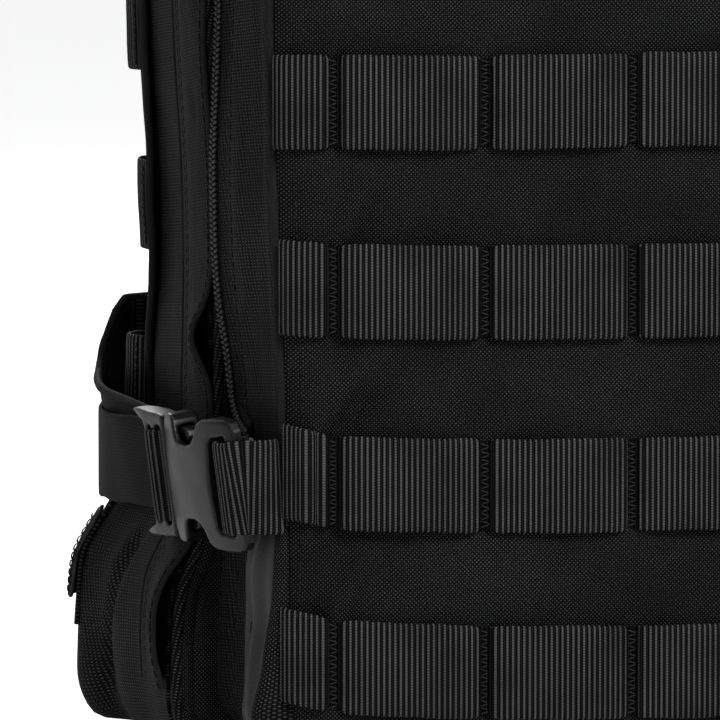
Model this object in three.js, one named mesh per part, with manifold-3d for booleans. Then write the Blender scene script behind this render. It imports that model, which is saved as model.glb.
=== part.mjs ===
// A trauma backpack for first responders: a clamshell main compartment with a
// front pocket and an upper pocket on its lid, ladder webbing on the front and
// sides, four compression straps with side-release buckles, a padded back
// panel with two shoulder straps, a sternum strap, a waist belt and a handle.
//
// Millimetres. +Z is up, the lid faces -Y and the wearer's back is at +Y.
// Right is +X, the wearer's right. The origin is on the ground, under the
// middle of the main compartment.

import * as THREE from "three";
import { mergeVertices } from "three/addons/utils/BufferGeometryUtils.js";
import Module from "manifold-3d";

const wasm = await Module();
wasm.setup();

// -------------------------------------------------------- shared dimensions
const GAP = 0.4; // clearance between stacked pieces
const SHELL_FRONT = -36; // main compartment, front rim
const SHELL_BACK = 74; // main compartment, wearer's side
const PANEL_FRONT = SHELL_BACK + GAP; // front face of what lies on the shell's back
const POCKET_BACK = -45.4; // back of both outer pockets
const POCKET_WALL = 2.4;
const POCKET_TOP = 262;
const UPPER_TOP = 418;
const ROW_HEIGHT = 25; // ladder webbing
const ROW_THICK = 2.2;
const STRAP_WIDTH = 25; // compression and shoulder webbing
const STRAP_THICK = 1.8;
const FAR = 600; // beyond the pack in every direction
const ALL = [-FAR, FAR];

// Half of the main outline, as [half width, height], from the ground up.
const HALF_OUTLINE = [
  [141, 0], [148.5, 3], [152, 10], [153, 22], [152.5, 44], [150, 53],
  [145.5, 60], [143.4, 68], [142.6, 82], [141, 110], [141, 130], [141, 160],
  [143.5, 200], [145, 250], [145, 300], [143.5, 335], [139, 370], [129, 405],
  [111, 432], [86, 449], [50, 457.5], [0, 460],
];

// ---------------------------------------------------------------- materials
const FABRIC = { color: 0x1c1c1d, roughness: 0.86, metalness: 0 };
const WEBBING = { color: 0x242425, roughness: 0.74, metalness: 0 };
const PLASTIC = { color: 0x2b2c2d, roughness: 0.42, metalness: 0 };
const MESH = { color: 0x18181a, roughness: 0.95, metalness: 0 };
const LINING = { color: 0x3a3c3e, roughness: 0.8, metalness: 0 };
const METAL = { color: 0x3b3b3d, roughness: 0.4, metalness: 0.8 };

// ----------------------------------------------------------- flat outlines
const vectors = (list) => list.map(([x, y]) => new THREE.Vector2(x, y));
const span = (centre, half) => [centre - half, centre + half];
const flipX = (list) => list.map(([x, y]) => [-x, y]);
const radians = THREE.MathUtils.degToRad;

// Moves a counterclockwise loop outwards by a distance.
function offsetLoop(points, distance) {
  return points.map((point, i) => {
    const before = points[(i + points.length - 1) % points.length];
    const after = points[(i + 1) % points.length];
    const normalIn = new THREE.Vector2(point.y - before.y, before.x - point.x).normalize();
    const normalOut = new THREE.Vector2(after.y - point.y, point.x - after.x).normalize();
    const mitre = normalIn.clone().add(normalOut).normalize();
    return point.clone().addScaledVector(mitre, distance / Math.max(0.5, mitre.dot(normalIn)));
  });
}

// The whole main outline, counterclockwise in (x, z), moved outwards.
function outline(distance = 0) {
  const left = flipX(HALF_OUTLINE.slice(0, -1)).reverse();
  return offsetLoop(vectors([...HALF_OUTLINE, ...left]), distance);
}

// A rectangle about x = 0 with its two upper corners cut off at 45 degrees.
function cutCornerFace(halfWidth, bottom, top, cut) {
  return vectors([
    [-halfWidth, bottom], [halfWidth, bottom], [halfWidth, top - cut],
    [halfWidth - cut, top], [-halfWidth + cut, top], [-halfWidth, top - cut],
  ]);
}

// The outline of a band of even thickness along an open path.
function band(path, thick) {
  const edge = (side) =>
    path.map((point, i) => {
      const normals = [];
      for (const [from, to] of [[path[i - 1], point], [point, path[i + 1]]]) {
        if (!from || !to) continue;
        const along = to.clone().sub(from).normalize();
        normals.push(new THREE.Vector2(-along.y, along.x));
      }
      if (normals.length === 1) return point.clone().addScaledVector(normals[0], (side * thick) / 2);
      const mitre = normals[0].clone().add(normals[1]).normalize();
      const stretch = Math.max(0.4, mitre.dot(normals[0]));
      return point.clone().addScaledVector(mitre, (side * thick) / 2 / stretch);
    });
  return [...edge(1), ...edge(-1).reverse()];
}

// ------------------------------------------------------------------- solids
function toSolid(geometry) {
  const flat = geometry.index ? geometry.toNonIndexed() : geometry;
  const positions = new THREE.BufferGeometry().setAttribute(
    "position",
    flat.getAttribute("position"),
  );
  const merged = mergeVertices(positions, 1e-3);
  return new wasm.Manifold(
    new wasm.Mesh({
      numProp: 3,
      vertProperties: new Float32Array(merged.attributes.position.array),
      triVerts: new Uint32Array(merged.index.array),
    }),
  );
}

function toGeometry(solid) {
  const mesh = solid.getMesh();
  const vertices = new Float32Array(mesh.vertProperties);
  const geometry = new THREE.BufferGeometry()
    .setAttribute("position", new THREE.BufferAttribute(vertices, 3))
    .setIndex(new THREE.BufferAttribute(new Uint32Array(mesh.triVerts), 1));
  geometry.computeVertexNormals();
  return geometry;
}

// A box over three [low, high] ranges.
function box([x0, x1], [y0, y1], [z0, z1]) {
  return toSolid(
    new THREE.BoxGeometry(x1 - x0, y1 - y0, z1 - z0).translate(
      (x0 + x1) / 2,
      (y0 + y1) / 2,
      (z0 + z1) / 2,
    ),
  );
}

// Bevels stay inside the outline and inside the length.
function extruded(points, length, bevel, bevelSegments) {
  return new THREE.ExtrudeGeometry(new THREE.Shape(points), {
    depth: length - 2 * bevel,
    bevelEnabled: bevel > 0,
    bevelThickness: bevel,
    bevelSize: bevel,
    bevelOffset: -bevel,
    bevelSegments,
    curveSegments: 6,
  });
}

// A shape drawn in (x, z), extruded from y = back towards the front.
function alongY(points, back, front, bevel = 0, segments = 2) {
  const turn = new THREE.Matrix4().makeBasis(
    new THREE.Vector3(1, 0, 0),
    new THREE.Vector3(0, 0, 1),
    new THREE.Vector3(0, -1, 0),
  );
  const geometry = extruded(points, back - front, bevel, segments).translate(0, 0, bevel);
  return toSolid(geometry.applyMatrix4(turn).translate(0, back, 0));
}

// A shape drawn in (x, y), extruded upwards from z0 to z1.
function alongZ(points, [z0, z1], bevel = 0, segments = 2) {
  return toSolid(extruded(points, z1 - z0, bevel, segments).translate(0, 0, z0 + bevel));
}

// A closed skin over rings of equal length, counterclockwise about the path.
function loft(rings) {
  const size = rings[0].length;
  const last = (rings.length - 1) * size;
  const centre = (ring) => [0, 1, 2].map((k) => ring.reduce((sum, p) => sum + p[k], 0) / size);
  const positions = [...rings.flat(), centre(rings[0]), centre(rings.at(-1))].flat();
  const startCentre = rings.length * size;
  const endCentre = startCentre + 1;
  const index = [];
  for (let i = 0; i < rings.length - 1; i++)
    for (let j = 0; j < size; j++) {
      const here = i * size + j;
      const next = i * size + ((j + 1) % size);
      index.push(here, next, next + size, here, next + size, here + size);
    }
  for (let j = 0; j < size; j++) {
    const next = (j + 1) % size;
    index.push(startCentre, next, j, endCentre, last + j, last + next);
  }
  return toSolid(
    new THREE.BufferGeometry()
      .setAttribute("position", new THREE.Float32BufferAttribute(positions, 3))
      .setIndex(index),
  );
}

// A flat strap through stations [x, y, z, width, thickness]. The width lies
// along x, turned by the path, and the thickness stands square to both.
function strap(stations) {
  const CORNER_CUT = 0.35; // share of the smaller half size
  const rings = stations.map(([x, y, z, width, thick], i) => {
    const before = new THREE.Vector3(...stations[Math.max(0, i - 1)]);
    const after = new THREE.Vector3(...stations[Math.min(stations.length - 1, i + 1)]);
    const along = after.sub(before).normalize();
    const across = new THREE.Vector3(1, 0, 0).addScaledVector(along, -along.x).normalize();
    const off = new THREE.Vector3().crossVectors(along, across);
    const u = width / 2;
    const v = thick / 2;
    const cut = Math.min(u, v) * CORNER_CUT;
    return [
      [u - cut, -v], [u, -v + cut], [u, v - cut], [u - cut, v],
      [-u + cut, v], [-u, v - cut], [-u, -v + cut], [-u + cut, -v],
    ].map(([a, b]) =>
      new THREE.Vector3(x, y, z).addScaledVector(across, a).addScaledVector(off, b).toArray(),
    );
  });
  return loft(rings);
}

// A strap of even section through [x, y, z] centres.
const evenStrap = (centres, width, thick) => strap(centres.map((c) => [...c, width, thick]));

const moved = (solid, matrix) => toSolid(toGeometry(solid).applyMatrix4(matrix));

// The same piece on the other side of the pack.
function mirrored(solid) {
  const geometry = toGeometry(solid);
  const position = geometry.attributes.position.array;
  const index = geometry.index.array;
  for (let i = 0; i < position.length; i += 3) position[i] = -position[i];
  for (let i = 0; i < index.length; i += 3)
    [index[i + 1], index[i + 2]] = [index[i + 2], index[i + 1]];
  return toSolid(geometry);
}

const part = new THREE.Group();

function piece(name, solid, look) {
  const mesh = new THREE.Mesh(toGeometry(solid), new THREE.MeshStandardMaterial(look));
  mesh.name = name;
  part.add(mesh);
}

function pair(name, solid, look) {
  piece("right_" + name, solid, look);
  piece("left_" + name, mirrored(solid), look);
}

// --------------------------------------------------------- main compartment
const SHELL_WALL = 3;
const SHELL_EDGE = 10; // bevel of the shell's back edge
const SHELL_INNER_EDGE = 8;
const FOOT_ROUND = 18; // corner radius of the base where it stands
const FOOT_HEIGHT = 4; // the base reaches its full plan here
const HORSESHOE_BOTTOM = 26; // lower ends of the zip and the storm flap

// Everything above the ground, with the base's four corners rounded off.
function standingSpace() {
  const footX = HALF_OUTLINE[0][0] - FOOT_ROUND;
  const points = [];
  for (const [sideX, sideY] of [[1, 1], [-1, 1], [-1, -1], [1, -1]])
    for (let i = 0; i <= 4; i++) {
      const angle = Math.atan2(sideY, sideX) + ((i - 2) * Math.PI) / 8;
      const centreY =
        sideY > 0 ? SHELL_BACK - SHELL_EDGE - FOOT_ROUND : SHELL_FRONT + FOOT_ROUND;
      points.push([
        sideX * footX + FOOT_ROUND * Math.cos(angle),
        centreY + FOOT_ROUND * Math.sin(angle),
        0,
      ]);
    }
  for (const x of [-160, 160]) for (const y of [-50, 80]) points.push([x, y, FOOT_HEIGHT]);
  return wasm.Manifold.hull(points).add(box(ALL, ALL, [FOOT_HEIGHT - 0.1, FAR]));
}

// A tray of fabric, open towards the lid, with a bevelled edge at the back.
function mainShell() {
  const outer = alongY(outline(), SHELL_BACK, SHELL_FRONT - 30, SHELL_EDGE);
  const inner = alongY(
    outline(-SHELL_WALL),
    SHELL_BACK - SHELL_WALL,
    SHELL_FRONT - 60,
    SHELL_INNER_EDGE,
  );
  return outer
    .subtract(inner)
    .subtract(box(ALL, [-FAR, SHELL_FRONT], ALL))
    .intersect(standingSpace());
}

// A rim round the sides and top, between two offsets of the main outline.
function horseshoe(outerOffset, innerOffset, back, front) {
  return alongY(outline(outerOffset), back, front)
    .subtract(alongY(outline(innerOffset), back + 20, front - 20))
    .subtract(box(ALL, ALL, [-FAR, HORSESHOE_BOTTOM]));
}

// A sleeve with four elastic loops across its front.
function innerSleeve() {
  const face = vectors([[-112, 26], [112, 26], [112, 300], [-112, 300]]);
  let sleeve = alongY(face, 68.2, 60, 3, 1);
  for (let z = 70; z <= 250; z += 60)
    sleeve = sleeve.add(box(span(0, 106), [55, 60.5], span(z, 19)));
  return sleeve;
}

piece("main_shell", mainShell(), FABRIC);
piece("storm_flap", horseshoe(1.8, GAP, -12, -34.5), FABRIC);
piece("main_zip", horseshoe(-0.6, -8, -36.3, -37.7), FABRIC);
piece("frame_sheet", box(span(0, 118), [68.6, 70.2], [24, 400]), PLASTIC);
piece("inner_sleeve", innerSleeve(), LINING);

// --------------------------------------------------------------- back panel
// Outlines in (x, z).
const BACK_PAD = vectors([
  [26, 100], [34, 92], [92, 92], [104, 104], [110, 220],
  [104, 380], [92, 396], [34, 396], [26, 388],
]);
const LUMBAR_PAD = vectors([
  [-90, 14], [90, 14], [98, 24], [98, 74],
  [90, 84], [-90, 84], [-98, 74], [-98, 24],
]);
const YOKE = vectors([
  [-96, 420], [-86, 410.5], [86, 410.5], [96, 420], [90, 434], [-90, 434],
]);
// Holds the lower shoulder webbing.
const WING = vectors([[140, 12], [143, 60], [120, 54], [112, 44], [112, 32]]);

pair("back_pad", alongY(BACK_PAD, 87, PANEL_FRONT, 3, 1), MESH);
piece("lumbar_pad", alongY(LUMBAR_PAD, 88, PANEL_FRONT, 3, 1), MESH);
piece("harness_yoke", alongY(YOKE, 84, PANEL_FRONT, 2, 1), FABRIC);
pair("anchor_wing", alongY(WING, 79, PANEL_FRONT), FABRIC);

// ------------------------------------------------------------- carry handle
const HANDLE_SIZE = 9; // thickness in the arch's plane, and depth
const HANDLE_BACK = 84.5;
const HANDLE_ARCH = vectors([
  [-54, 441], [-54, 462], [-47, 479], [-32, 489], [0, 493],
  [32, 489], [47, 479], [54, 462], [54, 441],
]);
piece(
  "carry_handle",
  alongY(band(HANDLE_ARCH, HANDLE_SIZE), HANDLE_BACK, HANDLE_BACK - HANDLE_SIZE),
  WEBBING,
);

// ---------------------------------------------------------------------- lid
const LID_BACK = -38;
const LID_FRONT = -44.6;
const LID_BOTTOM = 4;
const MESH_POCKET = vectors([
  [-118, 60], [118, 60], [118, 330], [104, 372], [-104, 372], [-118, 330],
]);

function lidPanel() {
  const face = outline(-0.5).map((p) => new THREE.Vector2(p.x, Math.max(p.y, LID_BOTTOM)));
  return alongY(face, LID_BACK, LID_FRONT, 1, 1);
}

// A backing with three pouches, on the lid's outer face, in the front pocket.
function pocketOrganiser() {
  let organiser = box(span(0, 116), [-49, -45], [26, 236]);
  for (const x of [-78, 0, 78])
    organiser = organiser.add(box(span(x, 34), [-57, -48.5], [30, 150]));
  return organiser;
}

piece("lid_panel", lidPanel(), FABRIC);
// on the lid's inner face
piece("lid_mesh_pocket", alongY(MESH_POCKET, -30.5, -37.6, 2, 1), MESH);
piece("pocket_organiser", pocketOrganiser(), LINING);

// ------------------------------------------------------------- front pocket
const POCKET_SIDE_BACK = 141; // half width at the pocket's zip
const POCKET_SIDE_FRONT = 131.5; // half width at its front seam
const POCKET_BOTTOM = 10;
const POCKET_CORNER = 14; // cut of the rim's upper corners
const POCKET_RIM_DEPTH = 20;
const CROWN_Y = -98; // front of the pocket's crowned face
const ROW_PITCH = 50;
const ROW_FIRST = 32.5; // centre of the lowest front row
const ROW_COUNT = 5;
// Right half of the crowned face, as [x, y].
const CROWN = [
  [20, CROWN_Y],
  [60, CROWN_Y + 1.2],
  [100, CROWN_Y + 4],
  [124, CROWN_Y + 8],
  [POCKET_SIDE_FRONT, CROWN_Y + 12.4],
];

// The pocket seen from above, from its left back corner round the front.
function pocketPlan(distance = 0) {
  const right = [...CROWN, [POCKET_SIDE_BACK, POCKET_BACK]];
  return offsetLoop(vectors([...flipX(right).reverse(), ...right]), distance);
}

function frontPocket() {
  const outer = alongZ(pocketPlan(), [POCKET_BOTTOM, POCKET_TOP], 8);
  // the hollow runs out through the back
  const innerPlan = pocketPlan(-POCKET_WALL).map((p) =>
    p.y > POCKET_BACK - 10 ? new THREE.Vector2(p.x, POCKET_BACK + 30) : p,
  );
  const innerHeight = [POCKET_BOTTOM + POCKET_WALL, POCKET_TOP - POCKET_WALL];
  const inner = alongZ(innerPlan, innerHeight, 6);
  // a square back edge, so the pocket sits flat on the lid
  const rim = alongY(
    cutCornerFace(POCKET_SIDE_BACK, POCKET_BOTTOM, POCKET_TOP, POCKET_CORNER),
    POCKET_BACK,
    POCKET_BACK - POCKET_RIM_DEPTH,
  ).intersect(alongZ(pocketPlan(), [POCKET_BOTTOM, POCKET_TOP]));
  const bevelledBack = box(ALL, [POCKET_BACK - 8, FAR], ALL);
  return outer.subtract(bevelledBack).add(rim).subtract(inner);
}

// Webbing that follows the crown, without the plan's two back corners.
function frontRow(z) {
  const path = pocketPlan(GAP + ROW_THICK / 2).slice(1, -1);
  return alongZ(band(path, ROW_THICK), span(z, ROW_HEIGHT / 2));
}

piece("front_pocket", frontPocket(), FABRIC);
for (let i = 0; i < ROW_COUNT; i++)
  piece("front_row_" + (i + 1), frontRow(ROW_FIRST + i * ROW_PITCH), WEBBING);

// ------------------------------------------------------------- upper pocket
const UPPER_BOTTOM = 302;
const UPPER_FRONT = -74;
const UPPER_SIDE = 116;
const UPPER_CORNER = 32;
const UPPER_ROW_BOTTOM = 313;

function upperPocket() {
  const face = cutCornerFace(UPPER_SIDE, UPPER_BOTTOM, UPPER_TOP, UPPER_CORNER);
  const innerFace = offsetLoop(face, -POCKET_WALL);
  const inner = alongY(innerFace, POCKET_BACK + 30, UPPER_FRONT + POCKET_WALL, 5, 1);
  return alongY(face, POCKET_BACK + 20, UPPER_FRONT, 6)
    .subtract(box(ALL, [POCKET_BACK, FAR], ALL))
    .subtract(inner);
}

// A flat patch on the pocket's front face.
function upperPatch(halfWidth, thick, height) {
  const back = UPPER_FRONT - GAP;
  return box(span(0, halfWidth), [back - thick, back], height);
}

const upperRowHeight = [UPPER_ROW_BOTTOM, UPPER_ROW_BOTTOM + ROW_HEIGHT];
piece("upper_pocket", upperPocket(), FABRIC);
piece("upper_row", upperPatch(106, ROW_THICK, upperRowHeight), WEBBING);
piece("loop_field", upperPatch(76, 1.6, [350, 404]), WEBBING);

// ------------------------------------------- ladder webbing on the two sides
const LADDER_BACK = 62;
const LADDER_FRONT = 29;
const LADDER_HEIGHT = [30, 314];
const LADDER_BASE = 1.3; // outer faces, outwards from the main outline
const LADDER_RUNG = 3.2;

// A slab on the right side, from the clearance out to an offset.
function sideSlab(offset, height) {
  return alongY(outline(offset), LADDER_BACK, LADDER_FRONT)
    .subtract(alongY(outline(GAP), 80, 10))
    .intersect(box([0, FAR], ALL, height));
}

function sideLadder() {
  let ladder = sideSlab(LADDER_BASE, LADDER_HEIGHT);
  for (let z = ROW_PITCH; z <= 300; z += ROW_PITCH)
    ladder = ladder.add(sideSlab(LADDER_RUNG, span(z, ROW_HEIGHT / 2)));
  return ladder;
}

pair("side_ladder", sideLadder(), WEBBING);

// ------------------------------------------------------ compression buckles
// Local frame: u runs from the front end to the rear end, v across the strap,
// w out of the pack. Both halves are drawn closed, u, v, w as x, y, z.
const FEMALE_LENGTH = 40;
const FEMALE_HALF_THICK = 4;
const BUCKLE_ROLL = radians(8);

function femaleBuckle() {
  // plate outline in (u, v), with waists where the prongs are pressed
  const plate = vectors([
    [0, -16], [2, -17.5], [14, -17], [18, -10.5], [28, -10.5], [31.5, -16.5],
    [FEMALE_LENGTH - 1, -17.5], [FEMALE_LENGTH, -16.5],
    [FEMALE_LENGTH, 16.5], [FEMALE_LENGTH - 1, 17.5],
    [31.5, 16.5], [28, 10.5], [18, 10.5], [14, 17], [2, 17.5], [0, 16],
  ]);
  const webbingSlot = box([4.2, 10], span(0, 13.4), span(0, 10));
  const socket = box([15, 60], span(0, 14.6), span(0, 2.5));
  return alongZ(plate, span(0, FEMALE_HALF_THICK), 1, 1).subtract(webbingSlot).subtract(socket);
}

function maleBuckle() {
  const face = FEMALE_LENGTH + 0.6; // where it meets the female half
  const fromFace = (points) => vectors(points.map(([u, v]) => [face + u, v]));
  const plate = fromFace([
    [0, -16.8], [13, -17.2], [20, -17], [20.5, -15.2], [14, -13.6],
    [14, 13.6], [20.5, 15.2], [20, 17], [13, 17.2], [0, 16.8],
  ]);
  let body = alongZ(plate, span(0, 3.2), 0.8, 1);
  for (const u of [face + 2.6, face + 8.4])
    body = body.subtract(box([u, u + 3.2], span(0, 13.2), span(0, 10)));
  for (const side of [-1, 1]) {
    const prong = fromFace([
      [1, side * 13.6], [1, side * 9.8], [-8, side * 8.6],
      [-13.2, side * 10], [-13.2, side * 11.6], [-8, side * 13.8],
    ]);
    body = body.add(alongZ(prong, span(0, 1.9)));
  }
  // tongue that centres the two halves
  return body.add(box([face - 9, face + 1], span(0, 4), span(0, 1.4)));
}

// The front webbing folds round the buckle's front bar, as [u, w].
const BAR_FOLD = [[0.5, 5.6], [5.2, 5.4], [7.2, 3], [7.2, -3]];
// The rear webbing leans fully up to the first distance behind the buckle's
// front end, and stands upright from the second.
const LEAN_FULL = 75;
const LEAN_NONE = 105;

// One strap per side. start is the buckle's front end, yaw turns it in plan.
// The paths are in plan: front and rear take at(u, w) and return [x, y] points.
function compression(name, { start, yaw, front, rear }) {
  const [x, y, z] = start;
  const sin = Math.sin(yaw);
  const cos = Math.cos(yaw);
  const at = (u, w) => [x + u * sin + w * cos, y + u * cos - w * sin];
  const along = new THREE.Vector3(sin, cos, 0);
  const out = new THREE.Vector3(cos, -sin, 0);
  const across = new THREE.Vector3(0, 0, 1)
    .multiplyScalar(Math.cos(BUCKLE_ROLL))
    .addScaledVector(out, Math.sin(BUCKLE_ROLL));
  const outward = new THREE.Vector3().crossVectors(along, across);
  const place = new THREE.Matrix4().makeBasis(along, across, outward).setPosition(...start);
  pair(name + "_buckle_female", moved(femaleBuckle(), place), PLASTIC);
  pair(name + "_buckle_male", moved(maleBuckle(), place), PLASTIC);

  const webbing = (path) =>
    alongZ(band(vectors(path), STRAP_THICK), span(z, STRAP_WIDTH / 2));
  const lean = new THREE.Matrix4()
    .makeTranslation(x, y, z)
    .multiply(new THREE.Matrix4().makeRotationAxis(along, BUCKLE_ROLL))
    .multiply(new THREE.Matrix4().makeTranslation(-x, -y, -z));
  const frontPath = [...front(at), ...BAR_FOLD.map(([u, w]) => at(u, w))];
  pair(name + "_front_webbing", moved(webbing(frontPath), lean), WEBBING);

  const rearGeometry = toGeometry(webbing(rear(at)));
  const position = rearGeometry.attributes.position.array;
  for (let i = 0; i < position.length; i += 3) {
    const fade = (y + LEAN_NONE - position[i + 1]) / (LEAN_NONE - LEAN_FULL);
    const share = THREE.MathUtils.clamp(fade, 0, 1);
    position[i] += (position[i + 2] - z) * Math.sin(BUCKLE_ROLL) * share;
  }
  pair(name + "_rear_webbing", toSolid(rearGeometry), WEBBING);
}

compression("lower", {
  start: [142.5, -83, 80],
  yaw: radians(12),
  front: (at) => [[134.6, -85.4], at(-3.5, 2.2)],
  rear: (at) => [
    at(50, -4.7), at(66, -4.7), at(84.5, -4.7), [157.2, 13], [157.4, 24],
    [154.4, 48], [150.5, 66], [143, 76.6], [134, 77.2],
  ],
});
compression("upper", {
  start: [154.5, -34, 330],
  yaw: radians(1),
  front: () => [[128, -46.6], [147, -48.4], [154, -44]],
  rear: (at) => [
    at(47, -5), at(76, -5), [149.6, 56], [146.6, 68], [139, 76.6], [128, 77.2],
  ],
});

// ------------------------------------------------------------- zip sliders
// Each slider is a small block over the coil with its pull cord.
function mainSlider() {
  const x = 146.9;
  const z = 285;
  const pull = box([x + 1, x + 2.6], [-42, -38], [z - 42, z - 4]);
  return box([x, x + 3.2], [-43, -35], span(z, 5)).add(pull);
}

// A slider on top of a pocket, with its pull lying towards the left.
function topSlider(x, pocketTop, pullLength) {
  const pull = box([x - pullLength, x + 1], [-50, -46], [pocketTop + 1.2, pocketTop + 2.8]);
  return box([x, x + 10], [-51, -45.2], [pocketTop + 0.6, pocketTop + 3.6]).add(pull);
}

pair("main_slider", mainSlider(), METAL);
piece("pocket_slider", topSlider(96, POCKET_TOP, 36), METAL);
piece("upper_slider", topSlider(55, UPPER_TOP, 37), METAL);

// ---------------------------------------------------------- shoulder straps
// Stations [x, y, z, width, thickness], from the top down.
const SHOULDER_PAD = [
  [52, 84, 404, 60, 10],
  [54, 98, 396, 62, 12],
  [58, 110, 374, 64, 13],
  [63, 116, 345, 66, 13],
  [69, 118, 310, 66, 13],
  [76, 118, 270, 64, 13],
  [83, 116, 232, 60, 12],
  [89, 112, 196, 54, 11],
  [93, 107, 166, 46, 9],
  [94, 105, 156, 38, 7],
];
// Centres [x, y, z], from the top down.
const LOWER_SHOULDER_PATH = [
  [94, 109, 141], [94.5, 110, 136], [95, 109.3, 129], [97, 104, 118],
  [106, 96, 86], [116, 86, 54], [119, 83.5, 44],
];

// A plate with two slots, at the lower end of the pad.
function ladderLock() {
  let lock = box([78, 110], [101, 107], [128, 152]);
  for (const z of [133, 143]) lock = lock.subtract(box([81, 107], [90, 120], [z, z + 5]));
  return lock;
}

pair("shoulder_pad", strap(SHOULDER_PAD), MESH);
pair("ladder_lock", ladderLock(), PLASTIC);
pair(
  "lower_shoulder_webbing",
  evenStrap(LOWER_SHOULDER_PATH, STRAP_WIDTH, STRAP_THICK),
  WEBBING,
);

// ------------------------------------------------------------ sternum strap
// Two halves, hanging unclipped on the outside of the pads.
const STERNUM_PATH = [
  [62, 127.2, 318], [60, 128, 300], [59, 127.8, 262], [58, 127.6, 240],
];
const STERNUM_BUCKLE_TOP = 238.8;

function sternumSocket() {
  return box([45, 71], [124.6, 130.4], [214, STERNUM_BUCKLE_TOP]).subtract(
    box([48, 68], [125.8, 129.2], [200, 230]),
  );
}

function sternumPlug() {
  let plug = box([-71, -45], [125, 130], [226, STERNUM_BUCKLE_TOP]);
  for (const x of [-69, -52]) plug = plug.add(box([x, x + 5], [126, 129], [212, 227]));
  return plug;
}

pair("sternum_webbing", evenStrap(STERNUM_PATH, 20, 1.6), WEBBING);
piece("right_sternum_buckle", sternumSocket(), PLASTIC);
piece("left_sternum_buckle", sternumPlug(), PLASTIC);

// -------------------------------------------------------------- waist belt
// Each half crosses the back to its buckle on the other side, the left above
// the right. The right half's path, as [x, y].
const WAIST_PATH = [[91, 93], [60, 95], [0, 96], [-60, 95.5], [-66, 95.5]];
const WAIST_THICK = 2;

const waistWebbing = (path, height) => alongZ(band(vectors(path), WAIST_THICK), height);

function waistSocket() {
  return box([-92, -66.6], [91.5, 99.5], [17.5, 51.5]).subtract(
    box([-120, -74], [93.2, 97.8], [20, 49]),
  );
}

function waistPlug() {
  let plug = box([66.6, 78], [92, 99], [49.5, 83.5]);
  for (const z of [52.5, 76]) plug = plug.add(box([77, 91], [93.6, 97.4], [z, z + 4.5]));
  return plug;
}

piece("right_waist_webbing", waistWebbing(WAIST_PATH, [22, 47]), WEBBING);
piece("left_waist_webbing", waistWebbing(flipX(WAIST_PATH), [54, 79]), WEBBING);
piece("right_waist_buckle", waistSocket(), PLASTIC);
piece("left_waist_buckle", waistPlug(), PLASTIC);

export default part;
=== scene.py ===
# The looks of a black trauma backpack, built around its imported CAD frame.
# The pack stands on z = 0 with its front towards -Y, its harness towards +Y and its right at +X.
# Shapes are worked out in millimetres and turned into metres when a mesh is made.
import math
import bpy
import bmesh
import numpy as np
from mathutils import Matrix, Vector


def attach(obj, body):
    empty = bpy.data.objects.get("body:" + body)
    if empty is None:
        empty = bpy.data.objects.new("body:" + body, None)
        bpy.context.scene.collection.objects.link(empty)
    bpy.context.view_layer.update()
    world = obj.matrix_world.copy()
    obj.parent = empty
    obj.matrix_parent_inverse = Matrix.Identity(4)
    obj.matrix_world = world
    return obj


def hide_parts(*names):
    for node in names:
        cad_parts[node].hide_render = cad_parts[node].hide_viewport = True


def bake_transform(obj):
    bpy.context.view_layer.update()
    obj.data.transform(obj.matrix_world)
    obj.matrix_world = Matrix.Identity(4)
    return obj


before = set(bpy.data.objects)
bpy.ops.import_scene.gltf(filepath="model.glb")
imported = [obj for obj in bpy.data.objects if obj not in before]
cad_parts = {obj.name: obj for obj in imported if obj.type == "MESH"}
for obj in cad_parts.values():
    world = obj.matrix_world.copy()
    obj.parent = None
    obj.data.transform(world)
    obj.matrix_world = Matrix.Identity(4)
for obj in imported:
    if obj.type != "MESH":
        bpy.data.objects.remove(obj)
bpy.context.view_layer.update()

SCENE = bpy.context.scene
MM = 0.001
TAU = 2 * math.pi

# directions
RIGHT, FRONT, BACK, UP = (1, 0, 0), (0, -1, 0), (0, 1, 0), (0, 0, 1)

# frame bodies that carry most of the pieces
PACK, LID = "pack_body", "lid"
FRONT_POCKET, UPPER_POCKET = "front_pocket", "upper_pocket"
SHOULDER = "%s_shoulder_strap"

# driving dimensions
SHELL_FRONT, SHELL_BACK = -36, 62   # y of the compartment's straight wall
LOWER_Z, UPPER_Z = 80, 330          # heights of the two compression straps
WEB_WIDTH = 25.0
RIB = 1.47                          # pitch of the ribs across the webbing
ROWS = [32.5 + 50 * i for i in range(5)]   # heights of the front webbing rows
TACKS = list(range(-120, 121, 40))         # x of the bar-tacks along them
UPPER_ROW_Z = 325.5
UPPER_TACKS = list(range(-80, 81, 40))


# ---------------------------------------------------------------- numbers
def lerp(a, b, t):
    return a + (b - a) * t


def ease(start, end, x):
    """Smooth step from 0 at start to 1 at end."""
    t = np.clip((np.asarray(x, float) - start) / (end - start), 0, 1)
    return t * t * (3 - 2 * t)


def bell(x, centre, width, power=2):
    return np.exp(-((x - centre) / width) ** power)


def arch(t, power=3.2):
    """A flat-topped arch over t = 0..1."""
    return 1 - np.abs(2 * t - 1) ** power


def quarter_round(t):
    return np.sqrt(np.clip(1 - (1 - t) ** 2, 0, 1))


def lattice(i, j, k, seed):
    """A repeatable value in -1..1 for each lattice point."""
    h = (i * 374761393 + j * 668265263 + k * 1440662683 + seed * 974634777) & 0xFFFFFFFF
    h = ((h ^ (h >> 13)) * 1274126177) & 0xFFFFFFFF
    h = h ^ (h >> 16)
    return (h & 0xFFFF) / 32767.5 - 1.0


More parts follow.
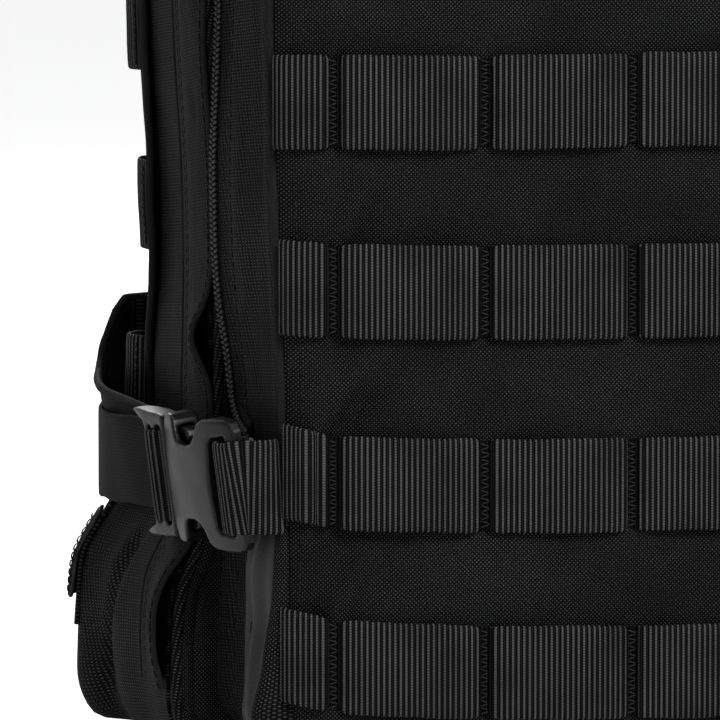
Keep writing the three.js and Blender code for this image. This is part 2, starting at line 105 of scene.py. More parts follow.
def noise(points, scale, seed):
    """Smooth value noise in -1..1 at points (..., 3), in the units of scale."""
    cell = np.asarray(points, float) / np.asarray(scale, float)
    i = np.floor(cell).astype(np.int64)
    f = cell - i
    f = f * f * f * (f * (f * 6 - 15) + 10)
    total = 0.0
    for a in (0, 1):
        wx = f[..., 0] if a else 1 - f[..., 0]
        for b in (0, 1):
            wy = f[..., 1] if b else 1 - f[..., 1]
            for c in (0, 1):
                wz = f[..., 2] if c else 1 - f[..., 2]
                corner = lattice(i[..., 0] + a, i[..., 1] + b, i[..., 2] + c, seed)
                total = total + wx * wy * wz * corner
    return total


def fbm(points, scale, seed, octaves=3):
    """Noise summed over octaves of halving size and strength."""
    total, weight, weights = 0.0, 1.0, 0.0
    scale = np.asarray(scale, float)
    for o in range(octaves):
        total = total + weight * noise(points, scale / 2 ** o, seed + 17 * o)
        weights += weight
        weight *= 0.5
    return total / weights


def stack(x, y, z):
    arrays = np.broadcast_arrays(*(np.asarray(v, float) for v in (x, y, z)))
    return np.stack(arrays, -1)


def pair(u, v):
    return np.stack(np.broadcast_arrays(u, v), -1)


def unit(v):
    v = np.asarray(v, float)
    return v / np.maximum(np.linalg.norm(v, axis=-1, keepdims=True), 1e-12)


def angles(count):
    return np.arange(count) / count * TAU


def super_circle(count, cos_power, sin_power):
    """A squared-off unit circle."""
    a = angles(count)
    c, s = np.cos(a), np.sin(a)
    return np.sign(c) * np.abs(c) ** cos_power, np.sign(s) * np.abs(s) ** sin_power


# ---------------------------------------------------------------- paths
def wrap(path):
    """The path with its first point repeated at the end."""
    return np.concatenate([path, path[:1]])


def mirror_loop(half):
    """A closed (x, z) loop from its +X half, which starts and ends on x = 0."""
    half = np.asarray(half, float)
    return np.concatenate([half, (half[1:-1] * [-1, 1])[::-1]])


def mirror_path(half):
    """An open path from -X to +X; half starts on x = 0."""
    half = np.asarray(half, float)
    mirrored = half[1:].copy()
    mirrored[:, 0] *= -1
    return np.concatenate([mirrored[::-1], half])


def arc(path):
    step = np.linalg.norm(np.diff(np.asarray(path, float), axis=0), axis=-1)
    return np.r_[0, np.cumsum(step)]


def resample(path, step, closed=False):
    path = np.asarray(path, float)
    full = wrap(path) if closed else path
    length = arc(full)
    count = max(2, int(round(length[-1] / step)) + (0 if closed else 1))
    s = np.linspace(0, length[-1], count, endpoint=not closed)
    return np.stack([np.interp(s, length, full[:, k]) for k in range(full.shape[1])], 1)


def catmull(points, step, closed=False):
    """A smooth curve through points, resampled at about the given step."""
    p = np.asarray(points, float)
    n = len(p)

    def at(i):
        return p[i % n] if closed else p[min(max(i, 0), n - 1)]

    t = np.linspace(0, 1, 24, endpoint=False)[:, None]
    spans = []
    for i in range(n if closed else n - 1):
        p0, p1, p2, p3 = at(i - 1), at(i), at(i + 1), at(i + 2)
        # centripetal tangents keep short spans from looping
        d01 = max(np.linalg.norm(p1 - p0), 1e-9) ** 0.5
        d12 = max(np.linalg.norm(p2 - p1), 1e-9) ** 0.5
        d23 = max(np.linalg.norm(p3 - p2), 1e-9) ** 0.5
        m1 = m2 = p2 - p1
        if d01 > 1e-3:
            m1 = (p2 - p1) + d12 * ((p1 - p0) / d01 - (p2 - p0) / (d01 + d12))
        if d23 > 1e-3:
            m2 = (p2 - p1) + d12 * ((p3 - p2) / d23 - (p3 - p1) / (d12 + d23))
        spans.append((2 * t ** 3 - 3 * t ** 2 + 1) * p1 + (t ** 3 - 2 * t ** 2 + t) * m1
                     + (-2 * t ** 3 + 3 * t ** 2) * p2 + (t ** 3 - t ** 2) * m2)
    if not closed:
        spans.append(p[-1:])
    return resample(np.concatenate(spans), step, closed)


def tangents(path, closed=False):
    path = np.asarray(path, float)
    if closed:
        return unit(np.roll(path, -1, 0) - np.roll(path, 1, 0))
    t = np.empty_like(path)
    t[1:-1] = path[2:] - path[:-2]
    t[0], t[-1] = path[1] - path[0], path[-1] - path[-2]
    return unit(t)


def loop_normals(loop, passes=3):
    """Outward normals of a closed (x, z) loop, smoothed over the given passes."""
    t = tangents(loop, True)
    normals = np.stack([t[:, 1], -t[:, 0]], 1)
    for _ in range(passes):
        normals = unit(normals + np.roll(normals, 1, 0) + np.roll(normals, -1, 0))
    return normals


def path_frames(path, up, closed=False):
    """Tangent, side and normal along a path; up is the wanted normal, one or one per point."""
    t = tangents(path, closed)
    up = np.broadcast_to(np.asarray(up, float), path.shape)
    normal = unit(up - t * (up * t).sum(-1, keepdims=True))
    return t, unit(np.cross(t, normal)), normal


def interp_rows(s, stations, rows):
    return np.stack([np.interp(s, stations, rows[:, c]) for c in range(3)], -1)


def carried(path, normals):
    """A function that reads the path's normals off at the arc lengths of a resampled path."""
    length = arc(path)
    return lambda p: interp_rows(arc(p), length, normals)


def width_along(path, across, out, at):
    """Normals for a strip whose width runs along across; they face out at point number at."""
    normals = unit(np.cross(np.broadcast_to(across, path.shape), tangents(path)))
    if (normals[at] * out).sum() < 0:
        normals = -normals
    return carried(path, normals)


def away_from(centre, lean):
    """Normals facing away from centre in x and z, leaning to the front."""
    return lambda p: unit(unit((p - centre) * [1, 0, 1]) + [0, -lean, 0])


# ---------------------------------------------------------------- outline of the pack
# (x, z) of the +X half, from the bottom centre to the top centre
HALF_OUTLINE = [
    (0, 0), (60, 0), (118, 0.0), (139, 1.2), (148.5, 5.5), (152.2, 13), (153, 24), (152.6, 38),
    (151.0, 50), (147.0, 59.5), (144.0, 70), (142.6, 84), (141.2, 108), (141, 132), (141.4, 160),
    (143.3, 200), (144.8, 245), (145, 300), (143.5, 335), (139, 370), (129.5, 404), (112, 431),
    (86, 448.5), (50, 457.3), (0, 460),
]
RIM = catmull(mirror_loop(HALF_OUTLINE), 1.0, closed=True)
RIM_NORMALS = loop_normals(RIM, 6)
RIM_ARC = arc(wrap(RIM))
RIM_LENGTH = RIM_ARC[-1]
RIM_SIDE = RIM[: len(RIM) // 2]   # the +X half


def outline(s):
    """x, z and outward normal at arc length s from the bottom centre, going up the +X side."""
    s = np.mod(np.asarray(s, float), RIM_LENGTH)
    x, z = (np.interp(s, RIM_ARC, wrap(RIM)[:, c]) for c in (0, 1))
    nx, nz = (np.interp(s, RIM_ARC, wrap(RIM_NORMALS)[:, c]) for c in (0, 1))
    size = np.hypot(nx, nz)
    return x, z, nx / size, nz / size


def at_outline(s, y, off):
    x, z, nx, nz = outline(s)
    return stack(x + nx * off, y, z + nz * off)


def half_width(z):
    side = RIM_SIDE[RIM_SIDE[:, 1] > 0.5]
    return np.interp(z, side[:, 1], side[:, 0])


def s_at_height(z):
    """Arc length where the outline's +X side reaches height z."""
    off_side = 1000 * (RIM_SIDE[:, 0] < 60) * (RIM_SIDE[:, 1] < 430)
    gap = np.abs(RIM_SIDE[:, 1] - np.asarray(z, float)[..., None]) + off_side
    return RIM_ARC[np.argmin(gap, axis=-1)]


# ---------------------------------------------------------------- meshes
class Parts:
    """Gathers closed shells so that they become one mesh."""

    def __init__(self):
        self.verts, self.faces, self.uvs, self.count = [], [], [], 0

    def add(self, verts, faces, uv=None):
        verts = np.asarray(verts, float).reshape(-1, 3)
        if uv is None:
            uv = np.zeros((len(verts), 2))
        self.verts.append(verts)
        self.uvs.append(np.asarray(uv, float).reshape(-1, 2))
        self.faces += [tuple(int(i) + self.count for i in face) for face in faces]
        self.count += len(verts)
        return self

    def mirror(self):
        other = Parts()
        other.verts = [v * [-1, 1, 1] for v in self.verts]
        other.uvs = list(self.uvs)
        other.faces = [face[::-1] for face in self.faces]
        other.count = self.count
        return other

    def make(self, name, material):
        me = bpy.data.meshes.new(name)
        me.from_pydata((np.concatenate(self.verts) * MM).tolist(), [], self.faces)
        layer = me.uv_layers.new(name="UVMap")
        index = np.empty(len(me.loops), np.int32)
        me.loops.foreach_get("vertex_index", index)
        uv = np.concatenate(self.uvs)[index].astype(np.float32)
        layer.data.foreach_set("uv", uv.ravel())
        me.polygons.foreach_set("use_smooth", np.full(len(me.polygons), True))
        me.update()
        ob = bpy.data.objects.new(name, me)
        SCENE.collection.objects.link(ob)
        me.materials.append(material)
        return ob


def piece(parts, name, body, material, slot, *stands_for):
    ob = parts.make(name, material)
    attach(ob, body)
    if stands_for:
        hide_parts(*stands_for)
    return ob


def both_sides(parts, name, body, material, slot, *stands_for):
    """The +X piece as drawn and its mirror image; %s in the names takes the side."""
    for side, half in (("right", parts), ("left", parts.mirror())):
        names = [n % side for n in stands_for]
        piece(half, name % side, body.replace("%s", side), material, slot, *names)


def grid_faces(rows, columns, close_u=False, close_v=False):
    i, j = np.meshgrid(np.arange(rows if close_v else rows - 1),
                       np.arange(columns if close_u else columns - 1), indexing="ij")
    i_next, j_next = (i + 1) % rows, (j + 1) % columns
    corners = [i * columns + j, i * columns + j_next,
               i_next * columns + j_next, i_next * columns + j]
    return np.stack(corners, -1).reshape(-1, 4)


def grid_normals(grid, close_u=False):
    du = np.roll(grid, -1, 1) - np.roll(grid, 1, 1) if close_u else np.gradient(grid, axis=1)
    return unit(np.cross(du, np.gradient(grid, axis=0)))


def sheet(parts, grid, uv, thick, close_u=False, flip=False):
    """Fabric with thickness: grid (rows, columns, 3) is its outer face, the inner lies below."""
    rows, columns = grid.shape[:2]
    normals = grid_normals(grid, close_u)
    inner = grid - (-normals if flip else normals) * thick
    base = rows * columns
    face = grid_faces(rows, columns, close_u)
    j = np.arange(columns if close_u else columns - 1)
    k = (j + 1) % columns
    top = (rows - 1) * columns
    faces = [face, (face + base)[:, ::-1],
             np.stack([j, j + base, k + base, k], -1),
             np.stack([top + k, top + k + base, top + j + base, top + j], -1)]
    if not close_u:
        i = np.arange(rows - 1) * columns
        m, n = i + columns - 1, i + 2 * columns - 1
        faces += [np.stack([i + columns, i + columns + base, i + base, i], -1),
                  np.stack([m, m + base, n + base, n], -1)]
    faces = np.concatenate(faces)
    verts = np.concatenate([grid.reshape(-1, 3), inner.reshape(-1, 3)])
    uv = np.asarray(uv, float).reshape(-1, 2)
    return parts.add(verts, faces[:, ::-1] if flip else faces, np.concatenate([uv, uv]))


def facing_sheet(parts, grid, thick, toward, uv=None):
    """A sheet turned so that its outer face looks toward a direction."""
    middle = grid_normals(grid)[grid.shape[0] // 2, grid.shape[1] // 2]
    flip = bool((middle * toward).sum() < 0)
    return sheet(parts, grid, grid[..., [0, 2]] if uv is None else uv, thick, flip=flip)


def closed_disc(parts, grid, thick, front, u_scale=1.0):
    """Shrinking rings as a sheet, its small middle closed on both faces. front: it faces -Y."""
    uv = grid[..., [0, 2]] * [u_scale, 1]
    sheet(parts, grid, uv, thick, close_u=True, flip=not front)
    count = grid.shape[1]
    fan = [(j, (j + 1) % count, count) for j in range(count)]
    middle = np.concatenate([grid[-1], grid[-1].mean(0)[None]])
    for off, turned in ((0.0, not front), (thick if front else -thick, front)):
        verts = middle + [0, off, 0]
        parts.add(verts, [f[::-1] for f in fan] if turned else fan, verts[:, [0, 2]])
    return parts


def rings(parts, grid, uv=None, closed=False):
    """A closed skin over rings (n, k, 3), faced outwards."""
    n, k = grid.shape[:2]
    verts = grid.reshape(-1, 3)
    if uv is None:
        uv = pair(arc(grid.mean(1))[:, None], np.linspace(0, 1, k) * 10)
    uv = np.asarray(uv, float).reshape(-1, 2)
    faces = grid_faces(n, k, True, closed).tolist()
    if not closed:
        first, last = len(verts), len(verts) + 1
        verts = np.concatenate([verts, grid[0].mean(0)[None], grid[-1].mean(0)[None]])
        uv = np.concatenate([uv, uv[:1], uv[-1:]])
        for j in range(k):
            faces.append((first, (j + 1) % k, j))
            faces.append((last, (n - 1) * k + j, (n - 1) * k + (j + 1) % k))
    # the sign of the enclosed volume tells whether the faces look outwards
    tri = np.array([f[:3] for f in faces] + [(f[0], f[2], f[3]) for f in faces if len(f) == 4])
    a, b, c = (verts[tri[:, i]] - verts.mean(0) for i in range(3))
    if np.einsum("ij,ij->i", a, np.cross(b, c)).sum() < 0:
        faces = [f[::-1] for f in faces]
    return parts.add(verts, faces, uv)


def tube(parts, path, radius, sides=8, closed=False, up=(0.3, 0.2, 1), flat=1.0):
    path = np.asarray(path, float)
    _, side, normal = path_frames(path, up, closed)
    a = angles(sides)
    radius = np.broadcast_to(np.asarray(radius, float), (len(path),))
    grid = path[:, None] + radius[:, None, None] * (
        np.cos(a)[None, :, None] * side[:, None] + flat * np.sin(a)[None, :, None] * normal[:, None])
    return rings(parts, grid, pair(arc(path)[:, None], a * radius.mean()), closed)


# upper half of a strap's cross-section: (across -1..1, height 0..1)
_WEB_TOP = np.array([
    [-1, 0.0], [-0.985, 0.55], [-0.95, 0.9], [-0.8, 1], [-0.45, 1], [0, 1],
    [0.45, 1], [0.8, 1], [0.95, 0.9], [0.985, 0.55], [1, 0.0]])
WEB_SECTION = np.concatenate([_WEB_TOP, (_WEB_TOP[1:-1] * [1, -1])[::-1]])


def webbing(parts, path, up, width, thick=1.7, ribs=0.2, step=0.4, pinch=None, edge_wave=0.25,
            seed=1, across=None):
    """Ribbed webbing facing up. ribs is the rib depth; pinch(s) narrows it where it is tacked."""
    if ribs > 0:
        path = resample(path, step)
    _, side, normal = path_frames(path, up(path) if callable(up) else up)
    if across is not None:  # the ribs keep one direction while the strip slopes
        across = np.asarray(across, float)
        side = np.where((side @ across)[:, None] > 0, across, -across)
    s = arc(path)
    half = np.full(len(path), width / 2.0)
    if pinch is not None:
        half = half - pinch(s)
    half = half + edge_wave * noise(stack(s, 0, seed * 9.1), (9, 9, 9), seed) * 0.6
    rib = (0.5 + 0.5 * np.cos(TAU * s / RIB)) ** 0.8
    u, v = WEB_SECTION.T
    height = (thick / 2.0 - ribs + ribs * rib)[:, None] * v
    # selvedges run a little proud where each rib ends
    wide = half[:, None] * u + np.sign(u) * (np.abs(u) > 0.96) * 0.12 * (rib[:, None] - 0.5)
    grid = path[:, None] + wide[..., None] * side[:, None] + height[..., None] * normal[:, None]
    return rings(parts, grid, pair(s[:, None], wide))


def pellets(parts, centres, axis, side, normal, stations, radii, lifts, sides):
    """One small closed bead per centre, with rings at stations along its axis."""
    a = angles(sides)
    wide = np.cos(a)[None, None, :, None] * side[:, None, None]
    high = np.sin(a)[None, None, :, None] * normal[:, None, None]
    grid = (centres[:, None, None] + stations[None, :, None, None] * axis[:, None, None]
            + lifts[None, :, None, None] * normal[:, None, None]
            + radii[None, :, None, None] * (wide + high))
    count = len(stations)
    one = [tuple(f) for f in grid_faces(count, sides, True).tolist()]
    one += [tuple(range(sides - 1, -1, -1)),
            tuple((count - 1) * sides + j for j in range(sides))]
    if np.dot(np.cross(side[0], normal[0]), axis[0]) < 0:
        one = [f[::-1] for f in one]
    faces = [tuple(i + bead * count * sides for i in f)
             for bead in range(len(centres)) for f in one]
    return parts.add(grid.reshape(-1, 3), faces)


def stitches(parts, path, up, pitch=3.2, length=2.4, radius=0.26, lift=0.0):
    """A seam: one small bead of thread per stitch, laid along path."""
    path = resample(path, 0.5)
    t, side, normal = path_frames(path, up(path) if callable(up) else up)
    s = arc(path)
    at = np.arange(pitch / 2, s[-1], pitch)
    if not len(at):
        return parts
    return pellets(
        parts, interp_rows(at, s, path), *(unit(interp_rows(at, s, v)) for v in (t, side, normal)),
        stations=np.array([-0.5, -0.36, 0.0, 0.36, 0.5]) * length,
        radii=np.array([0.15, 0.8, 1, 0.8, 0.15]) * radius,
        lifts=np.array([-0.6, 0.2, 0.5, 0.2, -0.6]) * radius + lift, sides=5)


def zip_chain(parts, path, out, pitch=1.5, spread=0.62, radius=0.52, lean=0.5, rows=(-1, 1),
              lift=0.0):
    """The coil of a closed zip: two rows of slanted loops that mesh along the middle."""
    path = resample(path, pitch)
    t, side, normal = path_frames(path, out(path) if callable(out) else out)
    for row in rows:
        shift = 0.0 if row < 0 else 0.5
        centres = path + shift * pitch * t + row * spread * side + lift * normal
        axis = unit(row * side + t * lean)
        high = unit(normal - axis * (normal * axis).sum(-1, keepdims=True))
        pellets(parts, centres, axis, np.cross(axis, high), high,
                stations=np.array([-0.5, -0.34, 0.34, 0.5]) * spread * 2.3,
                radii=np.array([0.35, 1, 1, 0.35]) * radius, lifts=np.zeros(4), sides=6)
    return parts


def zigzag(parts, centre, along, across, out, height, half, step, radius, seed):
    """A bar-tack: one thread going from side to side of a narrow column."""
    along, across, out = (np.array(v, float) for v in (along, across, out))
    count = int(height / step)
    i = np.arange(count + 1)
    v = -height / 2 + i * (height / count)
    uneven = 1 + 0.18 * noise(stack(i * 1.7, seed * 3.3, 0), (1, 1, 1), seed)
    u = np.where(i % 2 == 0, -half, half) * uneven
    turns = centre + v[:, None] * across + u[:, None] * along + 0.25 * out
    # each crossing is lifted a little at its middle
    path = np.empty((2 * len(turns) - 1, 3))
    path[::2] = turns
    path[1::2] = (turns[1:] + turns[:-1]) / 2 + 0.22 * out
    side = unit(np.cross(tangents(path), out))
    a = angles(4) + TAU / 8
    grid = path[:, None] + radius * (
        np.cos(a)[None, :, None] * side[:, None] + np.sin(a)[None, :, None] * out)
    return rings(parts, grid)


# ---------------------------------------------------------------- materials
class Net:
    """Shorthand for building the nodes of a material or world."""

    def __init__(self, block):
        block.use_nodes = True
        self.block, self.tree = block, block.node_tree
        self.tree.nodes.clear()

    def node(self, kind):
        return self.tree.nodes.new("ShaderNode" + kind)

    def put(self, socket, value):
        if isinstance(value, bpy.types.NodeSocket):
            self.tree.links.new(value, socket)
        elif isinstance(value, (tuple, list)) and len(value) == 3 and socket.type == "RGBA":
            socket.default_value = (*value, 1)
        else:
            socket.default_value = value

    def math(self, operation, a, b=None):
        n = self.node("Math")
        n.operation = operation
        self.put(n.inputs[0], a)
        if b is not None:
            self.put(n.inputs[1], b)
        return n.outputs[0]

    def mul(self, a, b):
        return self.math("MULTIPLY", a, b)

    def add(self, a, b):
        return self.math("ADD", a, b)

    def sin(self, a):
        return self.math("SINE", a)

    def cos(self, a):
        return self.math("COSINE", a)

    def wobble(self, value, noise, amount):
        """Shifts value by up to half of amount either way."""
        return self.add(value, self.mul(self.math("SUBTRACT", noise, 0.5), amount))

    def split(self, vector):
        n = self.node("SeparateXYZ")
        self.put(n.inputs[0], vector)
        return n.outputs

    def uv(self):
        """The UV vector with its u and v, in millimetres."""
        n = self.node("UVMap")
        n.uv_map = "UVMap"
        parts = self.split(n.outputs[0])
        return n.outputs[0], parts[0], parts[1]

    def obj(self):
        return self.node("TexCoord").outputs["Object"]

    def noise(self, vector, scale, detail=2.0, rough=0.5):
        n = self.node("TexNoise")
        self.put(n.inputs["Vector"], vector)
        self.put(n.inputs["Scale"], scale)
        self.put(n.inputs["Detail"], detail)
        self.put(n.inputs["Roughness"], rough)
        return n.outputs[0]

    def ramp(self, x, span, to=(0.0, 1.0), smooth=True):
        """Maps x from span onto to."""
        n = self.node("MapRange")
        n.interpolation_type = "SMOOTHSTEP" if smooth else "LINEAR"
        for i, value in enumerate((x, *span, *to)):
            self.put(n.inputs[i], value)
        return n.outputs[0]

    def worn_edge(self, span):
        return self.ramp(self.node("NewGeometry").outputs["Pointiness"], span)

    def mix(self, factor, a, b, blend="MIX"):
        n = self.node("Mix")
        n.data_type, n.blend_type = "RGBA", blend
        self.put(n.inputs[0], factor)
        self.put(n.inputs[6], a)
        self.put(n.inputs[7], b)
        return n.outputs[2]

    def bump(self, height, distance, strength=1.0, normal=None):
        n = self.node("Bump")
        n.inputs["Strength"].default_value = strength
        n.inputs["Distance"].default_value = distance
        self.put(n.inputs["Height"], height)
        if normal is not None:
            self.put(n.inputs["Normal"], normal)
        return n.outputs[0]

    def set(self, **values):
        for key, value in values.items():
            self.put(self.bsdf.inputs[key.replace("_", " ")], value)


def material_net(name):
    n = Net(bpy.data.materials.new(name))
    output = n.node("OutputMaterial")
    n.bsdf = n.node("BsdfPrincipled")
    n.put(output.inputs[0], n.bsdf.outputs[0])
    return n


def grey(value):
    """A grey very slightly towards blue."""
    return (value, value, value * 1.015)


def woven(name, period=1.12, lo=0.0015, hi=0.056, mid=0.011, depth=0.00022, rough=0.6,
          turn=0.0, spec=0.035, sheen=0.0, jitter=0.16, dust=0.25, stretch=1.0):
    """Plain-woven nylon: round yarn crossings on a checkerboard, with painted highlight on the yarns
    on top and painted shade in the gaps between them.
    """
    n = material_net(name)
    vec, u, v = n.uv()
    drift_u = n.noise(vec, scale=0.35)
    drift_v = n.noise(vec, scale=0.22)
    if stretch != 1.0:
        v = n.mul(v, 1.0 / stretch)
    if turn:
        c, s = math.cos(turn), math.sin(turn)
        u, v = n.add(n.mul(u, c), n.mul(v, s)), n.add(n.mul(u, -s), n.mul(v, c))
    u = n.wobble(u, drift_u, jitter * 2)
    v = n.wobble(v, drift_v, jitter * 2)
    weave = n.mul(n.sin(n.mul(u, TAU / period)), n.sin(n.mul(v, TAU / period)))
    over = n.ramp(weave, span=(0.05, 0.85))
    under = n.ramp(n.mul(weave, -1.0), span=(0.25, 0.95))
    under_share = 0.45
    height = n.add(over, n.mul(under, under_share))
    patch = n.noise(vec, scale=0.03, detail=3.0, rough=0.6)
    fleck = n.noise(vec, scale=1.6)
    tone = n.mul(n.ramp(patch, span=(0.3, 0.7), to=(1 - dust, 1 + dust)),
                 n.ramp(fleck, span=(0.25, 0.75), to=(0.72, 1.25)))
    # painted highlight and shade: the yarns on top take the light hi colour and the gaps the
    # near-black lo, standing in for the yarns' sheen and the shade in the weave
    colour = n.mix(over, n.mix(under, grey(lo), grey(mid)), grey(hi))
    tint = n.node("CombineColor")
    for i in range(3):
        n.put(tint.inputs[i], tone)
    grain = n.bump(n.noise(vec, scale=2.6), distance=0.00004, strength=0.6)
    n.set(Base_Color=n.mix(1.0, colour, tint.outputs[0], blend="MULTIPLY"), Roughness=rough,
          Normal=n.bump(height, distance=depth, normal=grain),
          Specular_IOR_Level=spec, Sheen_Weight=sheen, Sheen_Roughness=0.45)
    return n.block


def ribbed(name, lo=0.0015, hi=0.095, dash=0.72, depth=0.00016, rough=0.5, ribs=True):
    """Webbing, u along it and v across: ribs that are each a chain of short loops, their crests
    painted light and their furrows dark as painted highlight and shade.
    """
    n = material_net(name)
    vec, u, v = n.uv()
    v = n.wobble(v, n.noise(vec, scale=0.5), amount=0.35)
    if ribs:
        cell = n.math("FLOOR", n.add(n.mul(u, 1 / RIB), 0.5))
        rib = n.ramp(n.cos(n.mul(u, TAU / RIB)), span=(-0.15, 0.9))
        twin = n.cos(n.mul(u, 2 * TAU / RIB))
        chain = n.sin(n.add(n.mul(v, TAU / dash), n.mul(cell, math.pi)))
        loop = n.ramp(chain, span=(-0.6, 0.8), to=(0.35, 1.0))
        between = n.mul(n.ramp(twin, span=(0.2, 1.0)), n.ramp(chain, span=(0.5, -0.6)))
        between_light, rib_share, loop_share = 0.16, 0.4, 0.6
        # painted highlight and shade: rib crests and loops are painted light, the furrows between
        # the ribs near-black
        light = n.add(n.mul(rib, loop), n.mul(between, between_light))
        height = n.add(n.mul(rib, rib_share), n.mul(n.mul(rib, loop), loop_share))
    else:
        # the flat side: yarns along the webbing, floated over each other in short steps; the floats
        # are painted light and the gaps dark, as painted highlight and shade
        yarn, waver, float_step = 0.95, 1.9, 1.5    # periods in mm
        waver_size, float_slant, float_share = 0.6, 2.4, 0.7
        a = n.sin(n.add(n.mul(v, TAU / yarn), n.mul(n.sin(n.mul(u, TAU / waver)), waver_size)))
        b = n.sin(n.add(n.mul(u, TAU / float_step), n.mul(v, float_slant)))
        light = n.ramp(n.add(a, n.mul(b, float_share)), span=(-0.6, 1.5), to=(0.1, 0.8))
        height = light
    patch = n.noise(vec, scale=0.05, detail=3.0, rough=0.6)
    tone = n.mul(light, n.ramp(patch, span=(0.3, 0.7), to=(0.75, 1.25)))
    grain = n.bump(n.noise(vec, scale=3.2), distance=0.00003, strength=0.6)
    n.set(Base_Color=n.mix(n.math("MINIMUM", tone, 1.0), grey(lo), grey(hi)), Roughness=rough,
          Normal=n.bump(height, distance=depth, normal=grain),
          Specular_IOR_Level=0.035, Sheen_Weight=0.0, Sheen_Roughness=0.4)
    return n.block


def plastic(name, base=0.0045, rough=0.34, spec=0.25):
    """Moulded plastic: satin, with a fine grain, slight flow marks and rubbed high spots."""
    n = material_net(name)
    vec = n.obj()
    flow = n.noise(vec, scale=55, detail=3.0, rough=0.6)
    scuff = n.ramp(n.noise(vec, scale=420, detail=4.0, rough=0.7), span=(0.6, 0.78))
    edge_wear, scuff_wear = 0.55, 0.10
    colour = n.mix(n.mul(n.worn_edge(span=(0.51, 0.58)), edge_wear), grey(base), grey(base * 2.3))
    colour = n.mix(n.mul(scuff, scuff_wear), colour, grey(base * 2.0))
    roughness = n.add(n.ramp(flow, span=(0.3, 0.7), to=(rough - 0.05, rough + 0.07)),
                      n.mul(scuff, scuff_wear))
    grain = n.bump(n.noise(vec, scale=2600), distance=0.00002, strength=0.5)
    n.set(Base_Color=colour, Roughness=roughness, Specular_IOR_Level=spec,
          Normal=n.bump(flow, distance=0.00012, strength=0.35, normal=grain))
    return n.block


def mesh_fabric(name, lo=0.003, hi=0.03, cell=2.1):
    """A knitted face with small hexagonal holes, laid out in object x and z; the holes are painted
    near-black as painted shade, and the yarn ridges painted lighter than their grooves.
    """
    n = material_net(name)
    vec = n.obj()
    axes = n.split(vec)
    x, z = n.mul(axes[0], 1000), n.mul(axes[2], 1000)
    k = TAU / cell
    slant = 0.866   # sine of 60 degrees
    waves = n.add(n.cos(n.mul(x, k)), n.cos(n.add(n.mul(x, -k / 2), n.mul(z, k * slant))))
    waves = n.add(waves, n.cos(n.add(n.mul(x, -k / 2), n.mul(z, -k * slant))))
    hole = n.ramp(waves, span=(0.6, 1.7))
    yarn_pitch, sway_pitch, sway = 0.42, 1.05, 1.2
    yarn = n.sin(n.add(n.mul(z, TAU / yarn_pitch), n.mul(n.sin(n.mul(x, TAU / sway_pitch)), sway)))
    patch = n.noise(vec, scale=30, detail=3.0, rough=0.6)
    # painted highlight and shade: the yarn ridges are painted lighter than the grooves between them
    face = n.mix(n.ramp(yarn, span=(-0.6, 0.8)), grey(hi * 0.35), grey(hi))
    face = n.mix(n.ramp(patch, span=(0.3, 0.75), to=(0.0, 0.35)), face, grey(hi * 0.45))
    relief = n.bump(yarn, distance=0.00005, strength=0.7)
    # painted shade: the holes are painted near-black instead of being cut
    n.set(Base_Color=n.mix(hole, face, grey(lo)), Roughness=0.8,
          Normal=n.bump(n.mul(hole, -1.0), distance=0.0007, normal=relief),
          Specular_IOR_Level=0.25, Sheen_Weight=0.2, Sheen_Roughness=0.5)
    return n.block


def loop_pile(name):
    """The loop side of hook-and-loop: a dense matted pile."""
    n = material_net(name)
    vec = n.obj()
    pile = n.noise(vec, scale=1400, detail=4.0, rough=0.7)
    patch = n.noise(vec, scale=260, detail=3.0, rough=0.6)
    loops = n.node("TexVoronoi")
    loops.inputs["Scale"].default_value = 1150
    n.put(loops.inputs["Vector"], vec)
    colour = n.mix(n.ramp(pile, span=(0.35, 0.7)), grey(0.003), grey(0.024))
    colour = n.mix(n.ramp(patch, span=(0.35, 0.7), to=(0.0, 0.25)), colour, grey(0.012))
    relief = n.bump(pile, distance=0.0005, strength=0.8)
    relief = n.bump(loops.outputs["Distance"], distance=0.0003, strength=0.7, normal=relief)
    n.set(Base_Color=colour, Roughness=0.95, Normal=relief,
          Specular_IOR_Level=0.15, Sheen_Weight=0.12, Sheen_Roughness=0.5)
    return n.block


def thread(name, value=0.005, rough=0.6, spec=0.2):
    n = material_net(name)
    twist = n.noise(n.obj(), scale=3000)
    colour = n.mix(n.ramp(twist, span=(0.35, 0.65)), grey(value * 0.6), grey(value * 1.7))
    n.set(Base_Color=colour, Roughness=rough, Specular_IOR_Level=spec,
          Normal=n.bump(twist, distance=0.00005, strength=0.8))
    return n.block


def painted(name, value=0.02, rough=0.4, metal=0.5):
    """Painted metal, worn lighter on its edges."""
    n = material_net(name)
    fine = n.noise(n.obj(), scale=900, detail=3.0)
    edge_wear, bare = 0.6, 0.16
    edge = n.mul(n.worn_edge(span=(0.52, 0.6)), edge_wear)
    n.set(Base_Color=n.mix(edge, grey(value), grey(bare)), Metallic=metal,
          Roughness=n.ramp(fine, span=(0.3, 0.7), to=(rough - 0.06, rough + 0.08)),
          Normal=n.bump(fine, distance=0.00003, strength=0.5))
    return n.block


CORDURA = woven("cordura")
BIAS_CLOTH = woven("cordura_bias", period=1.2, turn=math.radians(38), mid=0.010, hi=0.055,
                   stretch=2.0)
